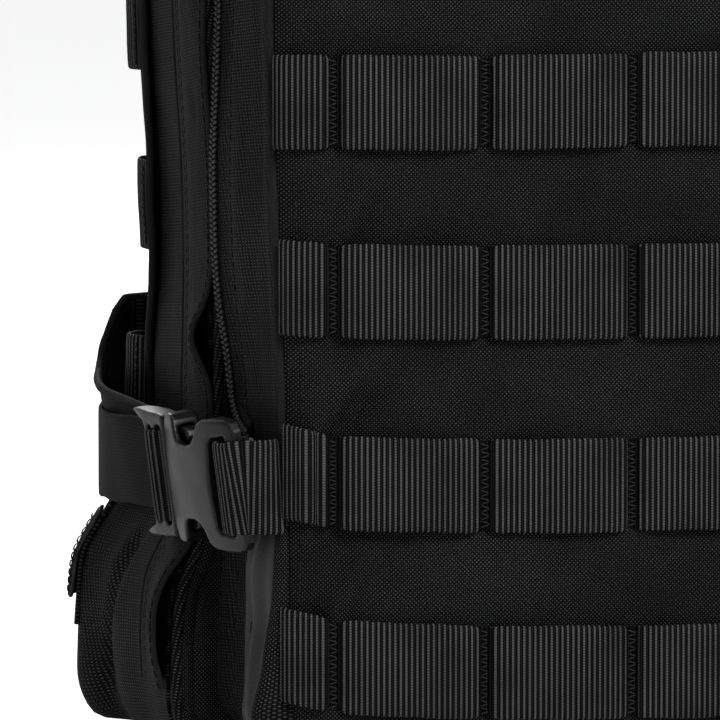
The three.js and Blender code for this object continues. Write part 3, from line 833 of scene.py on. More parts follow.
# a much darker webbing for the bar-tack trenches: painted shade
TACK_SHADE_WEB = ribbed("webbing_tack_shade", lo=0.0012, hi=0.010)
FLAP_CLOTH = woven("cordura_flap", period=1.2, turn=math.radians(-32), mid=0.0055, hi=0.030,
                   stretch=2.0)
SMOOTH_CLOTH = woven("smooth_packcloth", period=0.62, lo=0.010, hi=0.030, mid=0.020,
                     depth=0.00005, rough=0.45, spec=0.3, sheen=0.1, jitter=0.05, dust=0.2)
LINING = woven("lining", period=0.7, lo=0.09, hi=0.17, mid=0.13, depth=0.00005, rough=0.5,
               jitter=0.05, dust=0.15)
WEB = ribbed("webbing")
FLAT_WEB = ribbed("webbing_flat", ribs=False, lo=0.0025, hi=0.0105, depth=0.00008, rough=0.6)
BINDING = ribbed("binding_tape", lo=0.002, hi=0.04, dash=0.6)
PLASTIC = plastic("buckle_plastic")
SPACER_MESH = mesh_fabric("spacer_mesh")
POCKET_NET = mesh_fabric("pocket_mesh", lo=0.002, hi=0.022, cell=2.6)
LOOP_PILE = loop_pile("loop_pile")
THREAD = thread("thread")
TACK_THREAD = thread("thread_tack", value=0.010)
COIL = thread("zip_coil", value=0.032, rough=0.45, spec=0.4)
TAPE = woven("zip_tape", period=0.55, lo=0.008, hi=0.03, mid=0.02, depth=0.00005, rough=0.6,
             jitter=0.03, dust=0.2)
METAL = painted("painted_zinc")


# ---------------------------------------------------------------- front pocket
POCKET_HALF, POCKET_LOW, POCKET_TOP, POCKET_CORNER = 136.6, 10, 262, 15
POCKET_MID_Z = (POCKET_LOW + POCKET_TOP) / 2
POCKET_BACK = -45.9    # y where both pockets meet the lid

# (x, y) of the pocket front seen from above, from the middle out
CROWN = catmull(mirror_path([(0, -98.2), (60, -96.8), (100, -94.0), (120, -91.2),
                             (130, -87.6), (POCKET_HALF, -83.6)]), 0.5)
# for each row of webbing: (distance from the middle, height above the row's nominal line)
ROW_SAG = [
    [(0, -2.8), (40, -2.7), (80, -2.0), (120, 0.3), (128, 2.1), (136.6, 4.0)],
    [(0, -2.6), (40, -2.6), (80, -2.4), (120, -1.4), (128, 0.6), (136.6, 2.4)],
    [(0, -1.2), (40, -1.2), (80, -1.1), (120, -0.6), (129, 0.0), (136.6, 0.7)],
    [(0, -0.4), (40, -0.5), (80, -0.8), (120, -0.9), (136.6, -0.9)],
    [(0, -0.3), (40, -0.3), (80, -0.2), (120, 0.1), (136.6, 0.3)],
]
# (height, half width) of the front face, and of the zip line behind it
FACE_WIDTHS = [(10, 132.4), (40, 132.4), (80, 131.8), (105, 131.8), (132, 132.6), (160, 133.6),
               (200, 134.4), (262, 134.8)]
ZIP_WIDTHS = [(8, 141.5), (40, 140.6), (70, 138.6), (92, 136.6), (104, 136.4), (114, 137.6),
              (128, 139.9), (141, 140.9), (168, 141.3), (200, 139.9), (230, 139.8), (262, 140.5)]
# gathers at the ends of the lower rows: (x at mid height, lean, depth)
GATHERS = [(-117, 0.4, 2.4), (-120, 0.55, 2.9), (-116, 0.35, 2.0), (-121, 0.25, 1.4)]


def crown(x):
    return np.interp(np.clip(x, -POCKET_HALF, POCKET_HALF), CROWN[:, 0], CROWN[:, 1])


def row_z(k, x):
    return ROWS[k] + np.interp(np.abs(x), *np.transpose(ROW_SAG[k]))


def face_half(z):
    return np.interp(z, *np.transpose(FACE_WIDTHS))


def zip_x(z):
    return np.interp(z, *np.transpose(ZIP_WIDTHS))


def low_corner(half, low, radius, count):
    """The +X half of a pocket's lower edge, up to the end of its rounded corner."""
    turn = np.linspace(0, math.pi / 2, count)[1:-1]
    return ([(0, low), (half - radius, low)]
            + [(half - radius + radius * math.sin(a), low + radius - radius * math.cos(a))
               for a in turn] + [(half, low + radius)])


def rounded_perimeter(half, low, top, radius):
    """Rounded rectangle in (x, z), from the bottom centre going up the +X side."""
    turn = np.linspace(0, math.pi / 2, 9)[1:-1]
    points = low_corner(half, low, radius, 9) + [(half, top - radius)]
    points += [(half - radius + radius * math.cos(a), top - radius + radius * math.sin(a))
               for a in turn]
    points += [(half - radius, top), (0, top)]
    return resample(mirror_loop(points), 1.6, closed=True)


def rolled_edge(inset, reach, depth):
    """How far a face falls back near its seam."""
    return depth * (1 - quarter_round(np.clip(inset / reach, 0, 1)))


def front_fabric(x, z):
    """How far the pocket's front stands out from its crown."""
    d = 0.0
    for k in range(5):  # pressed in under each row
        d = d - 1.0 * bell(z, row_z(k, x), 10.5, 4)
    for k in range(4):  # swelling between the rows
        d = d + 1.3 * bell(z, (row_z(k, x) + row_z(k + 1, x)) / 2, 10.0)
    edge = np.exp(-np.maximum(face_half(z) - np.abs(x), 0) / 26.0)
    points = stack(x, 0, z)
    d = d + 1.0 * fbm(points, (60, 60, 45), 3)
    d = d + edge * 3.0 * fbm(points, (9, 9, 20), 5, 2)
    d = d + 0.45 * fbm(stack(x + 0.35 * z, 0, z), (16, 16, 40), 8, 2)
    for row, (middle, lean, depth) in zip(ROWS, GATHERS):
        for side in (1, -1):
            high = row + 19
            u = (side * x - middle) - lean * (z - high)
            d = (d + depth * bell(u, 0, 3.4) * bell(z, high, 11.0)
                 - 0.8 * depth * bell(u, 7, 3.2) * bell(z, high, 10.0))
    return d


loop = rounded_perimeter(POCKET_HALF, POCKET_LOW, POCKET_TOP, POCKET_CORNER)
loop[:, 0] *= face_half(loop[:, 1]) / POCKET_HALF
loop_x, loop_z = loop.T
loop_nx, loop_nz = loop_normals(loop).T
loop_s = arc(wrap(loop))[:-1]

# front face: rings shrinking from the seam to the middle
t = np.concatenate([[1.0, 0.996, 0.99, 0.982], np.linspace(0.97, 0.03, 62)])[:, None]
x, z = loop_x * t, POCKET_MID_Z + (loop_z - POCKET_MID_Z) * t
inset = (1 - t) * 126.0
face = stack(x, crown(x) + rolled_edge(inset, 4.5, 3.2) - front_fabric(x, z) * ease(0, 9, inset), z)
piece(closed_disc(Parts(), face, 1.4, front=True, u_scale=1.008),
      "front_pocket_face", FRONT_POCKET, CORDURA, "cordura", "front_pocket")

# side, top and bottom walls, from the front seam back to the zip
WALL_ROWS = 26
t = np.linspace(0, 1, WALL_ROWS)[:, None]
sideness = np.clip(np.abs(loop_nx), 0, 1)
x_back = (np.sign(loop_x) * np.minimum(zip_x(loop_z), np.abs(loop_x) + 14) * sideness
          + loop_x * (1 - sideness))
y = lerp(crown(loop_x) + 2.6, POCKET_BACK, t)
puff = np.sin(math.pi * t)
d = 1.5 * puff * sideness + 2.0 * puff * (1 - sideness)
d = d + puff * (0.9 * fbm(stack(loop_s, y * 1.6, 0), (30, 16, 10), 11)
                + 0.8 * fbm(stack(loop_s, y, 3.0), (70, 9, 10), 12, 2))
# the wall is gathered where the strap crosses it
d = d - 2.6 * puff * bell(loop_z, LOWER_Z, 14.0) * sideness
# the two seams sink a little, and a lip rolls along the front seam
for seam in (0.70, 0.80):
    d = d - 0.5 * bell(t, seam, 0.035)
d = d + 1.0 * bell(t, 0.05, 0.06)
wall = stack(lerp(loop_x, x_back, t), y, loop_z) + d[..., None] * stack(loop_nx, 0, loop_nz)
piece(sheet(Parts(), wall, pair(loop_s, np.linspace(0, 40, WALL_ROWS)[:, None]), 1.3,
            close_u=True, flip=True),
      "front_pocket_wall", FRONT_POCKET, BIAS_CLOTH, "cordura")

seams = Parts()
wall_normals = -grid_normals(wall, True)
for seam in (0.70, 0.80, 0.985):
    row = seam * (WALL_ROWS - 1)
    a = int(row)
    line = wrap(lerp(wall[a], wall[a + 1], row - a))
    normals = wrap(unit(lerp(wall_normals[a], wall_normals[a + 1], row - a)))
    stitches(seams, line, carried(line, normals), pitch=3.1, length=2.3)
stitches(seams, wrap(face[4]), FRONT, radius=0.24, lift=-0.02)
piece(seams, "front_pocket_seams", FRONT_POCKET, THREAD, "cordura")

lip = stack(loop_x + loop_nx * 0.4, crown(loop_x) + 2.9, loop_z + loop_nz * 0.4)
piece(tube(Parts(), lip, 1.35, closed=True, up=FRONT),
      "front_pocket_piping", FRONT_POCKET, TAPE, "cordura")


# ---------------------------------------------------------------- ladder webbing on the front
def row_path(k):
    half = float(face_half(ROWS[k] + 2)) + 0.4
    x = np.linspace(-half, half, 900)
    ends = [-half, *TACKS, half]
    bulge = np.zeros_like(x)
    for a, c in zip(ends[:-1], ends[1:]):
        cell = (x >= a) & (x <= c)
        t = (x[cell] - a) / (c - a)
        size = 1.75 + 0.55 * noise(stack(a * 0.13, k * 3.1, 0), 1.0, 4)
        skew = 0.12 * noise(stack(a * 0.31, k * 1.7, 2), 1.0, 9)
        skewed = np.clip(t + skew * np.sin(math.pi * t), 0, 1)
        bulge[cell] = (size * min(1.0, (c - a) / 36.0) + 0.25) * arch(skewed)
    d = 1.95 + bulge - 1.55 * sum(bell(x, tack, 2.1, 4) for tack in TACKS)
    d = d - 0.9 * bell(half, np.abs(x), 1.6)
    if k == 1:  # the second row's ends are creased where the strap pulls on the seam
        d = d + 1.5 * bell(np.abs(x), 127.6, 1.5) - 1.2 * bell(np.abs(x), 124.6, 1.3)
    wave = 0.25 * noise(stack(x, k, 0), (30, 1, 1), 21)
    return stack(x, crown(x) - d, row_z(k, x) + wave)


def shade_tack_trenches(ob, half=1.75):
    """Under each tack the webbing sinks into a trench with its ribs closed up, so that part takes a
    darker webbing: painted shade for the trench.
    """
    me = ob.data
    me.materials.append(TACK_SHADE_WEB)
    centres = np.zeros(len(me.polygons) * 3)
    me.polygons.foreach_get("center", centres)
    x = centres[0::3] / MM
    index = np.zeros(len(me.polygons), dtype=np.int32)
    for tack in TACKS:
        index[np.abs(x - tack) < half] = 1
    me.polygons.foreach_set("material_index", index)
    me.update()


tacks = Parts()
for k in range(5):
    path = resample(row_path(k), 0.3)

    def narrowed(s, path=path):
        x = np.interp(s, arc(path), path[:, 0])
        return 0.75 * sum(bell(x, tack, 2.4) for tack in TACKS)

    row = webbing(Parts(), path, FRONT, WEB_WIDTH, 1.7, 0.30, 0.37, narrowed, seed=k + 1, across=UP)
    shade_tack_trenches(piece(row, f"front_webbing_row_{k + 1}", FRONT_POCKET, WEB, "webbing",
                         f"front_row_{k + 1}"))
    for j, tack in enumerate(TACKS):
        i = int(np.argmin(np.abs(path[:, 0] - tack)))
        out = unit(np.cross(unit(path[i + 3] - path[i - 3]), UP))
        out = out if out[1] < 0 else -out
        zigzag(tacks, path[i] + out * 0.70, RIGHT, UP, out, 22.6, 1.7, 1.0, 0.29, k * 10 + j)
piece(tacks, "front_bar_tacks", FRONT_POCKET, TACK_THREAD, "webbing")


# ---------------------------------------------------------------- main compartment
def side_taper(y, z, nx):
    """Above the base the sides draw in towards the back."""
    return 0.25 * np.maximum(np.asarray(y, float) - 26.0, 0) * ease(72, 108, z) * nx * nx


def hump(y):
    """0 at the wall's front edge, 1 half-way back."""
    return np.sin(math.pi * np.clip((y - SHELL_FRONT) / 104.0, 0, 1))


def shell_push(s, y, z, nx):
    """How far the compartment's wall stands out from the plain outline."""
    swell = hump(y)
    d = 1.6 * swell
    points = stack(s, y, 0)
    d = d + swell * (1.1 * fbm(points, (70, 26, 9), 31) + 0.7 * fbm(points, (26, 60, 9), 32, 2))
    d = d - side_taper(y, z, nx)
    # pulled in under the two straps
    d = d - 3.2 * swell * bell(z, LOWER_Z, 15.0) - 2.4 * swell * bell(z, UPPER_Z, 15.0)
    # slack in the fabric under the lower strap
    low = ease(72, 40, z) * np.abs(nx)
    fold = np.sin((y - 0.22 * (z - 40)) / 8.4 + 1.7 * noise(stack(z, y, 0), (46, 40, 9), 33))
    d = d + low * swell * (1.5 * fold + 0.8)
    d = d + 6.8 * ease(86, 50, z) * bell(np.asarray(y, float), 45.0, 12.5) * nx * nx
    # a crease running down and to the rear
    u = (y - 15) * 0.93 + (z - 57) * 0.37
    along = np.clip((57 - z) / 45.0, -0.2, 1.2)
    ends = ease(-0.15, 0.15, along) * ease(1.15, 0.85, along)
    return d - 2.8 * bell(u, 0, 3.0) * ends * np.abs(nx)


shell_s = np.linspace(0, RIM_LENGTH, 700, endpoint=False)
_, shell_z, shell_nx, _ = outline(shell_s)
BACK_TAPER = side_taper(SHELL_BACK, shell_z, shell_nx)


def back_turn(count, depth, shrink, off=0.0):
    """Rings that turn the wall in over the back edge."""
    a = np.linspace(0, math.pi / 2, count)[1:, None]
    return at_outline(shell_s, SHELL_BACK + depth * np.sin(a),
                      off - shrink * (1 - np.cos(a)) - BACK_TAPER)


row_y = np.linspace(SHELL_FRONT, SHELL_BACK, 50)
y = row_y[:, None]
d = shell_push(shell_s, y, shell_z, shell_nx) * ease(-36, -26, y)
d = np.where(shell_z < 3, np.minimum(d, 0.0), d) * ease(0.5, 8, shell_z)
shell = np.concatenate([at_outline(shell_s, y, d), back_turn(7, 11, 10)])
shell[..., 2] = np.maximum(shell[..., 2], 0.0)
v = np.r_[row_y, SHELL_BACK + np.arange(1, 7) * 2.8]
piece(sheet(Parts(), shell, pair(shell_s, v[:, None]), 1.4, close_u=True, flip=True),
      "shell_wall", PACK, BIAS_CLOTH, "cordura", "main_shell")

y = np.linspace(-35, SHELL_BACK, 24)[:, None]
pulled = bell(shell_z, LOWER_Z, 18.0) + bell(shell_z, UPPER_Z, 18.0)
d = (-1.7 - side_taper(y, shell_z, shell_nx)
     - 2.2 * np.sin(math.pi * (y - SHELL_FRONT) / 104.0) * pulled
     + 0.5 * fbm(stack(shell_s, y, 5), (50, 30, 9), 35) * ease(-35, -25, y))
liner = np.concatenate([at_outline(shell_s, y, d), back_turn(5, 8.4, 8, -1.7)])
liner[..., 2] = np.maximum(liner[..., 2], 1.7)
piece(sheet(Parts(), liner, pair(shell_s, np.linspace(0, 110, len(liner))[:, None]), 0.7,
            close_u=True, flip=True),
      "shell_lining", PACK, LINING, "lining")

DISC_CENTRE_Z = 232.0


def disc(inset, y_edge, y_mid, seed, puff, rings_=26, floor=0.0):
    """A flat panel shaped like the outline, drawn in by inset."""
    t = np.linspace(1, 0.02, rings_)[:, None]
    x, z, nx, nz = outline(shell_s)
    inset = inset + (BACK_TAPER if y_edge > 0 else 0.0)
    x, z = x - nx * inset, np.maximum(z - nz * inset, 0)
    x, z = x * t, DISC_CENTRE_Z + (z - DISC_CENTRE_Z) * t
    y = (lerp(y_edge, y_mid, ease(1.0, 0.8, t))
         + puff * fbm(stack(x, z, seed), (60, 60, 60), seed) * ease(1.0, 0.93, t))
    return stack(x, y, np.maximum(z, floor))


piece(closed_disc(Parts(), disc(9.6, 73.2, 73.4, seed=40, puff=0.25), 2.0, front=False),
      "back_panel", PACK, CORDURA, "cordura")
x, z, nx, nz = outline(np.linspace(0, RIM_LENGTH, 420, endpoint=False))
inset = 8.6 + side_taper(SHELL_BACK, z, nx)
piece(tube(Parts(), stack(x - nx * inset, 72.2, np.maximum(z - nz * inset, 2.6)), 2.0, 10,
           closed=True, up=BACK),
      "back_piping", PACK, BINDING, "webbing")


# ---------------------------------------------------------------- storm flap over the main zip
FLAP_ROWS = 22
start = s_at_height(22)
flap_s = np.linspace(start, RIM_LENGTH - start, 640)
x, z, nx, nz = outline(flap_s)
upright = np.abs(nx)
gape = np.where(x > 0, 0.5, 1.0)   # the left side gapes more
t = np.linspace(0, 1, FLAP_ROWS)[:, None]
edge = (-45.4 + upright * (6.0 * gape * bell(z, 117, 11.0) + 5.0 * gape * bell(z, 40, 19.0))
        + 0.8 * noise(stack(flap_s, 2.0, 1), (45, 9, 9), 51))
y = lerp(-13.0, edge, t)
d = shell_push(flap_s, -16.0, z, nx) * (1 - t) + 1.2
d = d + (0.35 + 1.2 * (1 - upright)) * t ** 1.5 + 1.6 * np.sin(math.pi * t) * upright
# the free edge lifts at two heights
d = d + upright * gape * 4.6 * (bell(z, 117, 10.0) + bell(z, 40, 17.0)) * ease(0.45, 1.0, t)
d = d + ease(0.2, 1, t) * (0.9 * fbm(stack(flap_s, y * 1.5, 2), (26, 16, 9), 52)
                           + 0.35 * fbm(stack(flap_s, y * 2, 7), (9, 12, 9), 53, 2))
d = d - 0.45 * bell(t, 0.16, 0.04) - 0.45 * bell(t, 0.30, 0.04)
d = d - (1.0 * bell(z, LOWER_Z, 12.0) + 0.8 * bell(z, UPPER_Z, 12.0)) * t * upright
flap = at_outline(flap_s, y, d)
piece(sheet(Parts(), flap, pair(flap_s, np.linspace(0, 31, FLAP_ROWS)[:, None]), 1.3),
      "storm_flap_cloth", PACK, FLAP_CLOTH, "cordura", "storm_flap")
normals = grid_normals(flap)
if (normals[FLAP_ROWS // 2, 40] * [nx[40], 0, nz[40]]).sum() < 0:
    normals = -normals
seams = Parts()
for seam in (0.16, 0.30, 0.93):
    i = int(round(seam * (FLAP_ROWS - 1)))
    stitches(seams, flap[i], carried(flap[i], normals[i]))
piece(seams, "storm_flap_seams", PACK, THREAD, "cordura")
hem = tube(Parts(), flap[-1] - normals[-1] * 0.6, 0.75, up=BACK)
tube(hem, flap[0] - normals[0] * 0.3, 0.9, up=BACK)
piece(hem, "storm_flap_hem", PACK, TAPE, "cordura")

# main zip: the tape and one row of the coil are on the body, the other row on the lid
start = s_at_height(24)
zip_s = np.linspace(start, RIM_LENGTH - start, 900)
# columns: y, distance out from the outline, v
y, off, v = np.array([(-30.0, -1.0, 0), (-35.2, -1.2, 5.2), (-37.1, -1.0, 7.1)]).T[..., None]
piece(sheet(Parts(), at_outline(zip_s, y, off), pair(zip_s, v), 0.7),
      "main_zip_tape", PACK, TAPE, "cordura", "main_zip")
_, _, nx, nz = outline(zip_s)
path = at_outline(zip_s, -37.3, -2.3)
for row, name, body in ((1, "main_zip_coil", PACK), (-1, "lid_zip_coil", LID)):
    coil = zip_chain(Parts(), path, carried(path, stack(nx, 0, nz)), pitch=2.0, spread=0.85,
                     radius=0.62, rows=(row,))
    piece(coil, name, body, COIL, "webbing")


# ---------------------------------------------------------------- lid
lid_s = np.linspace(0, RIM_LENGTH, 520, endpoint=False)


def lid_ring(y, off):
    points = at_outline(lid_s, y, off)
    points[..., 2] = np.maximum(points[..., 2], 4.0)
    return points


# columns: y, distance out from the outline, v
LID_WALL = np.array([(-38.1, -1.6, 0), (-38.3, -0.7, 1.2), (-40.5, -0.4, 3.4), (-43.0, -0.5, 5.9),
                     (-44.4, -1.2, 7.6), (-45.0, -2.6, 9.1), (-45.1, -5.5, 12.0)])
y, off, v = LID_WALL.T[..., None]
piece(sheet(Parts(), lid_ring(y, off), pair(lid_s, v), 1.2, close_u=True),
      "lid_wall", LID, CORDURA, "cordura", "lid_panel")
panel = disc(3.4, -45.0, -45.2, seed=43, puff=0.12, rings_=30, floor=4.0)
piece(closed_disc(Parts(), panel, 2.0, front=True), "lid_face", LID, CORDURA, "cordura")
panel = disc(1.5, -38.3, -38.6, seed=44, puff=0.15, rings_=20, floor=4.6)
piece(closed_disc(Parts(), panel, 0.9, front=False), "lid_lining", LID, LINING, "lining")
piece(tube(Parts(), lid_ring(-44.3, -1.0)[::2], 1.5, closed=True, up=FRONT),
      "lid_binding", LID, BIAS_CLOTH, "webbing")


# ---------------------------------------------------------------- pocket zip, seams and pleat
# the +X half of the zip line: over the top, down the side, then hooked forwards
half_zip = [(0, -46.3, 262.4), (60, -46.3, 262.4), (118, -46.3, 262.2), (131, -46.3, 259.5),
            (138.4, -46.4, 252), (140.2, -46.5, 240)]
half_zip += [(float(zip_x(z)) + 0.4, -46.8, z)
             for z in (225, 205, 185, 165, 150, 138, 126, 114, 104)]
half_zip += [(136.6, -49.5, 99), (136.2, -54.5, 95), (135.4, -61.0, 92)]
zip_path = mirror_path(catmull(half_zip, 0.8))
zip_out = away_from(np.array([0, -46.3, POCKET_MID_Z]), 0.55)
piece(zip_chain(Parts(), zip_path, zip_out, lean=0.9, lift=0.9),
      "pocket_zip_coil", LID, COIL, "webbing")
path = resample(zip_path, 1.6)
_, side, normal = path_frames(path, zip_out(path))
across = np.array([-3.4, -1.8, 0, 1.8, 3.4])
tape = np.array([path + side * w + normal * (0.15 if abs(w) < 2 else -0.4) for w in across])
piece(facing_sheet(Parts(), tape, 0.6, normal[len(path) // 2], pair(arc(path), across[:, None])),
      "pocket_zip_tape", LID, TAPE, "cordura")

# below the zip the pocket's back edge is sewn to the lid, and the lid to the compartment
z = np.linspace(106, 24, 40)
half_seam = np.concatenate([stack(zip_x(z) - 1.3, -45.6, z), np.array([
    (137.6, -45.6, 17), (133.6, -45.6, 12.2), (126, -45.6, 10.6), (60, -45.6, 10.4),
    (0, -45.6, 10.4)])])
path = catmull(np.concatenate([half_seam, (half_seam[:-1] * [-1, 1, 1])[::-1]]), 1.5)
piece(tube(Parts(), path, 1.25, up=FRONT), "pocket_back_seam", LID, BIAS_CLOTH, "cordura")
end = s_at_height(30)
path = at_outline(np.linspace(-end, end, 260), -37.0, -2.2)
path[:, 2] = np.maximum(path[:, 2], 3.0)
piece(tube(Parts(), path, 1.5, up=FRONT), "lid_hinge_seam", PACK, TAPE, "cordura")

# the smooth pleat at the pocket's lower corners
z = np.linspace(11, 72, 46)[:, None]
t = np.linspace(0, 1, 20)
slack = ease(4, 20, z) * (0.35 + 0.65 * ease(74, 56, z))
y = lerp(-83.5, -62.0, t)
x = lerp(face_half(z) - 0.6, zip_x(z) - 1.6, (y + 86) / 40.0)
x = x + 3.6 * slack * np.sin(math.pi * t) ** 0.6
x = x + 0.8 * np.sin(5.2 * t * math.pi + 0.05 * (z - 30)) * slack * np.sin(math.pi * t)
x = x + 0.7 * noise(stack(z, y, 0), (14, 9, 9), 61) * slack
pleat = stack(x, y, z)
both_sides(facing_sheet(Parts(), pleat, 1.0, RIGHT, pleat[..., 1:]),
           "%s_corner_pleat", FRONT_POCKET, SMOOTH_CLOTH, "cordura")

# a rolled fold in front of it
z = np.linspace(12, 69, 44)[:, None]
a = lerp(-0.2, 1.15, np.linspace(0, 1, 12)) * math.pi
waver = 0.5 * noise(stack(z, 3.0, 0), (17, 9, 9), 62)
size = np.interp(z, [12, 20, 30, 49, 62, 69], [8.0, 8.0, 6.0, 3.4, 2.6, 2.0])
fold = stack(face_half(z) - 0.6 + size * np.maximum(np.sin(a), -0.3) * (1.0 + 0.3 * waver),
             -83.6 - 3.2 * np.cos(a), z)
both_sides(facing_sheet(Parts(), fold, 1.2, RIGHT, pair(np.linspace(0, 13, 12), z)),
           "%s_corner_fold", FRONT_POCKET, CORDURA, "cordura")


# ---------------------------------------------------------------- side ladder webbing
SIDE_LOOPS = [(50, 0.5), (100, 7.5), (150, 1.6), (200, 2.6), (250, 2.4), (300, 2.4)]  # z, bulge
SIDE_BACK = 63.5    # y where the side panel and its loops end


def side_x(y, z):
    """The compartment's side surface at (y, z)."""
    return half_width(z) + shell_push(s_at_height(z), y, z, 1.0)


z = np.linspace(30, 314, 190)[:, None]
y_front = np.interp(z, [30, 60, 86, 100, 118, 128, 205, 260, 314],
                    [45, 45, 38, 33, 25, 20, 17.5, 17.5, 18])
y = lerp(y_front, SIDE_BACK, np.linspace(0, 1, 16))
panel = stack(side_x(y, z) + 1.7 + 0.5 * noise(stack(y, z, 0), (22, 30, 9), 71), y, z)
both_sides(facing_sheet(Parts(), panel, 1.2, RIGHT, panel[..., 1:]),
           "%s_side_panel", PACK, CORDURA, "cordura", "%s_side_ladder")
both_sides(tube(Parts(), panel[z[:, 0] > 70, 0] + [0.1, -0.2, 0], 1.2, up=RIGHT),
           "%s_side_panel_piping", PACK, TAPE, "cordura")

TABLE_Y, TABLE_Z = np.linspace(8, 72, 33), np.linspace(20, 330, 156)
TABLE_X = side_x(TABLE_Y[:, None], TABLE_Z[None, :])


def side_table(y, z):
    """side_x read off a grid."""
    row = np.clip((np.asarray(y) - TABLE_Y[0]) / (TABLE_Y[1] - TABLE_Y[0]), 0, len(TABLE_Y) - 1.001)
    col = np.clip((np.asarray(z) - TABLE_Z[0]) / (TABLE_Z[1] - TABLE_Z[0]), 0, len(TABLE_Z) - 1.001)
    i, j = row.astype(int), col.astype(int)
    a, b = row - i, col - j
    return ((TABLE_X[i, j] * (1 - a) + TABLE_X[i + 1, j] * a) * (1 - b)
            + (TABLE_X[i, j + 1] * (1 - a) + TABLE_X[i + 1, j + 1] * a) * b)


loops, tacks = Parts(), Parts()
for height, bulge in SIDE_LOOPS:
    loops_before, tacks_before = len(loops.verts), len(tacks.verts)
    y_front = float(np.interp(height, [50, 100, 150, 314], [46.0, 33.5, 19.0, 19.0]))
    y = np.linspace(y_front, SIDE_BACK, 40)
    t = (y - y_front) / (SIDE_BACK - y_front)
    swell = np.maximum(np.sin(math.pi * np.minimum(t, 1)), 0) ** 0.7
    points = stack(side_x(y, height) + 2.9 + bulge * swell * (0.75 + 0.25 * np.cos(t * 5)),
                   y, height + 0.4 * np.sin(t * 4))
    webbing(loops, catmull(points, 0.4), RIGHT, WEB_WIDTH, 1.5, 0.26, 0.37, seed=height)
    for tack_y in (y_front + 1.6, 62.4):
        i = int(np.argmin(np.abs(y - tack_y)))
        zigzag(tacks, points[i] + [0.55, 0, 0], BACK, UP, RIGHT, 22.0, 1.2, 1.15, 0.27, height)
    # each loop leans with the surface it is sewn to
    share = 0.4 if height == 100 else 1.0
    for verts in loops.verts[loops_before:] + tacks.verts[tacks_before:]:
        lean = side_table(verts[:, 1], verts[:, 2]) - side_table(verts[:, 1], float(height))
        verts[:, 0] += lean * share
both_sides(loops, "%s_side_webbing", PACK, WEB, "webbing")
both_sides(tacks, "%s_side_tacks", PACK, TACK_THREAD, "webbing")


# ---------------------------------------------------------------- side-release buckles
# A buckle is drawn in (u, v, w): u from front to rear, v across it, w out of its face.
def apply_all(ob):
    dg = bpy.context.evaluated_depsgraph_get()
    dg.update()
    me = bpy.data.meshes.new_from_object(ob.evaluated_get(dg))
    old = ob.data
    ob.modifiers.clear()
    ob.data = me
    bpy.data.meshes.remove(old)


def prism(points, low, high):
    bm = bmesh.new()
    bottom = [bm.verts.new((u, v, low)) for u, v in points]
    top = [bm.verts.new((u, v, high)) for u, v in points]
    bm.faces.new(bottom[::-1])
    bm.faces.new(top)
    n = len(points)
    for i in range(n):
        bm.faces.new((bottom[i], bottom[(i + 1) % n], top[(i + 1) % n], top[i]))
    bmesh.ops.recalc_face_normals(bm, faces=bm.faces[:])
    me = bpy.data.meshes.new("tmp")
    bm.to_mesh(me)
    bm.free()
    ob = bpy.data.objects.new("tmp", me)
    SCENE.collection.objects.link(ob)
    return ob


def moulded(body, added, removed):
    """Prisms joined and cut, then remeshed so the edges come out rounded."""
    base = prism(*body)
    for operation, solids in (("UNION", added), ("DIFFERENCE", removed)):
        for solid in solids:
            other = prism(*solid)
            boolean = base.modifiers.new("b", "BOOLEAN")
            boolean.operation, boolean.object, boolean.solver = operation, other, "EXACT"
            apply_all(base)
            bpy.data.objects.remove(other)
    remesh = base.modifiers.new("r", "REMESH")
    remesh.mode, remesh.voxel_size = "VOXEL", 0.46
    smooth = base.modifiers.new("s", "SMOOTH")
    smooth.factor, smooth.iterations = 0.5, 5
    base.modifiers.new("d", "DECIMATE").ratio = 0.45
    apply_all(base)
    verts = np.array([v.co[:] for v in base.data.vertices])
    faces = [tuple(p.vertices) for p in base.data.polygons]
    bpy.data.objects.remove(base)
    return verts, faces


def across_loop(half):
    """The whole loop from its v >= 0 half."""
    return half + [(u, -v) for u, v in half[::-1]]


# female half: rounded waists, a slot for the webbing, and an open socket at its rear
FEMALE_OUTLINE = across_loop([
    (-1.2, 15.0), (0.2, 17.0), (3, 17.9), (8, 17.9), (13.5, 17.5), (16.2, 16.2), (17.6, 13.2),
    (19.6, 10.9), (23, 10.1), (27, 10.2), (29.6, 11.2), (31, 13.6), (31.6, 16.2), (33.2, 17.5),
    (37, 17.7), (39.6, 17.2), (40.4, 15.8)])
WEB_SLOT = [(2.4, -13.6), (8.8, -13.0), (10.4, -11.6), (11.2, 0), (10.4, 11.6), (8.8, 13.0),
            (2.4, 13.6)]
SOCKET = [(15, -14.4), (60, -14.4), (60, 14.4), (15, 14.4)]
female_verts, female_faces = moulded(
    (FEMALE_OUTLINE, -4.0, 4.0), [], [(WEB_SLOT, -9.0, 9.0), (SOCKET, -2.3, 2.3)])
# the top face is dished towards the waist and falls away at its rear edge
u, v, w = female_verts.T
w += ease(-1.0, 4.0, w) * (1.5 - ((u - 22) / 22.0) ** 2 * 2.9 - (v / 17.0) ** 2 * 0.9)
w[:] = np.where(w < 0, w * (1 - 0.72 * ease(16, 7, u)), w)
FEMALE = female_verts, female_faces

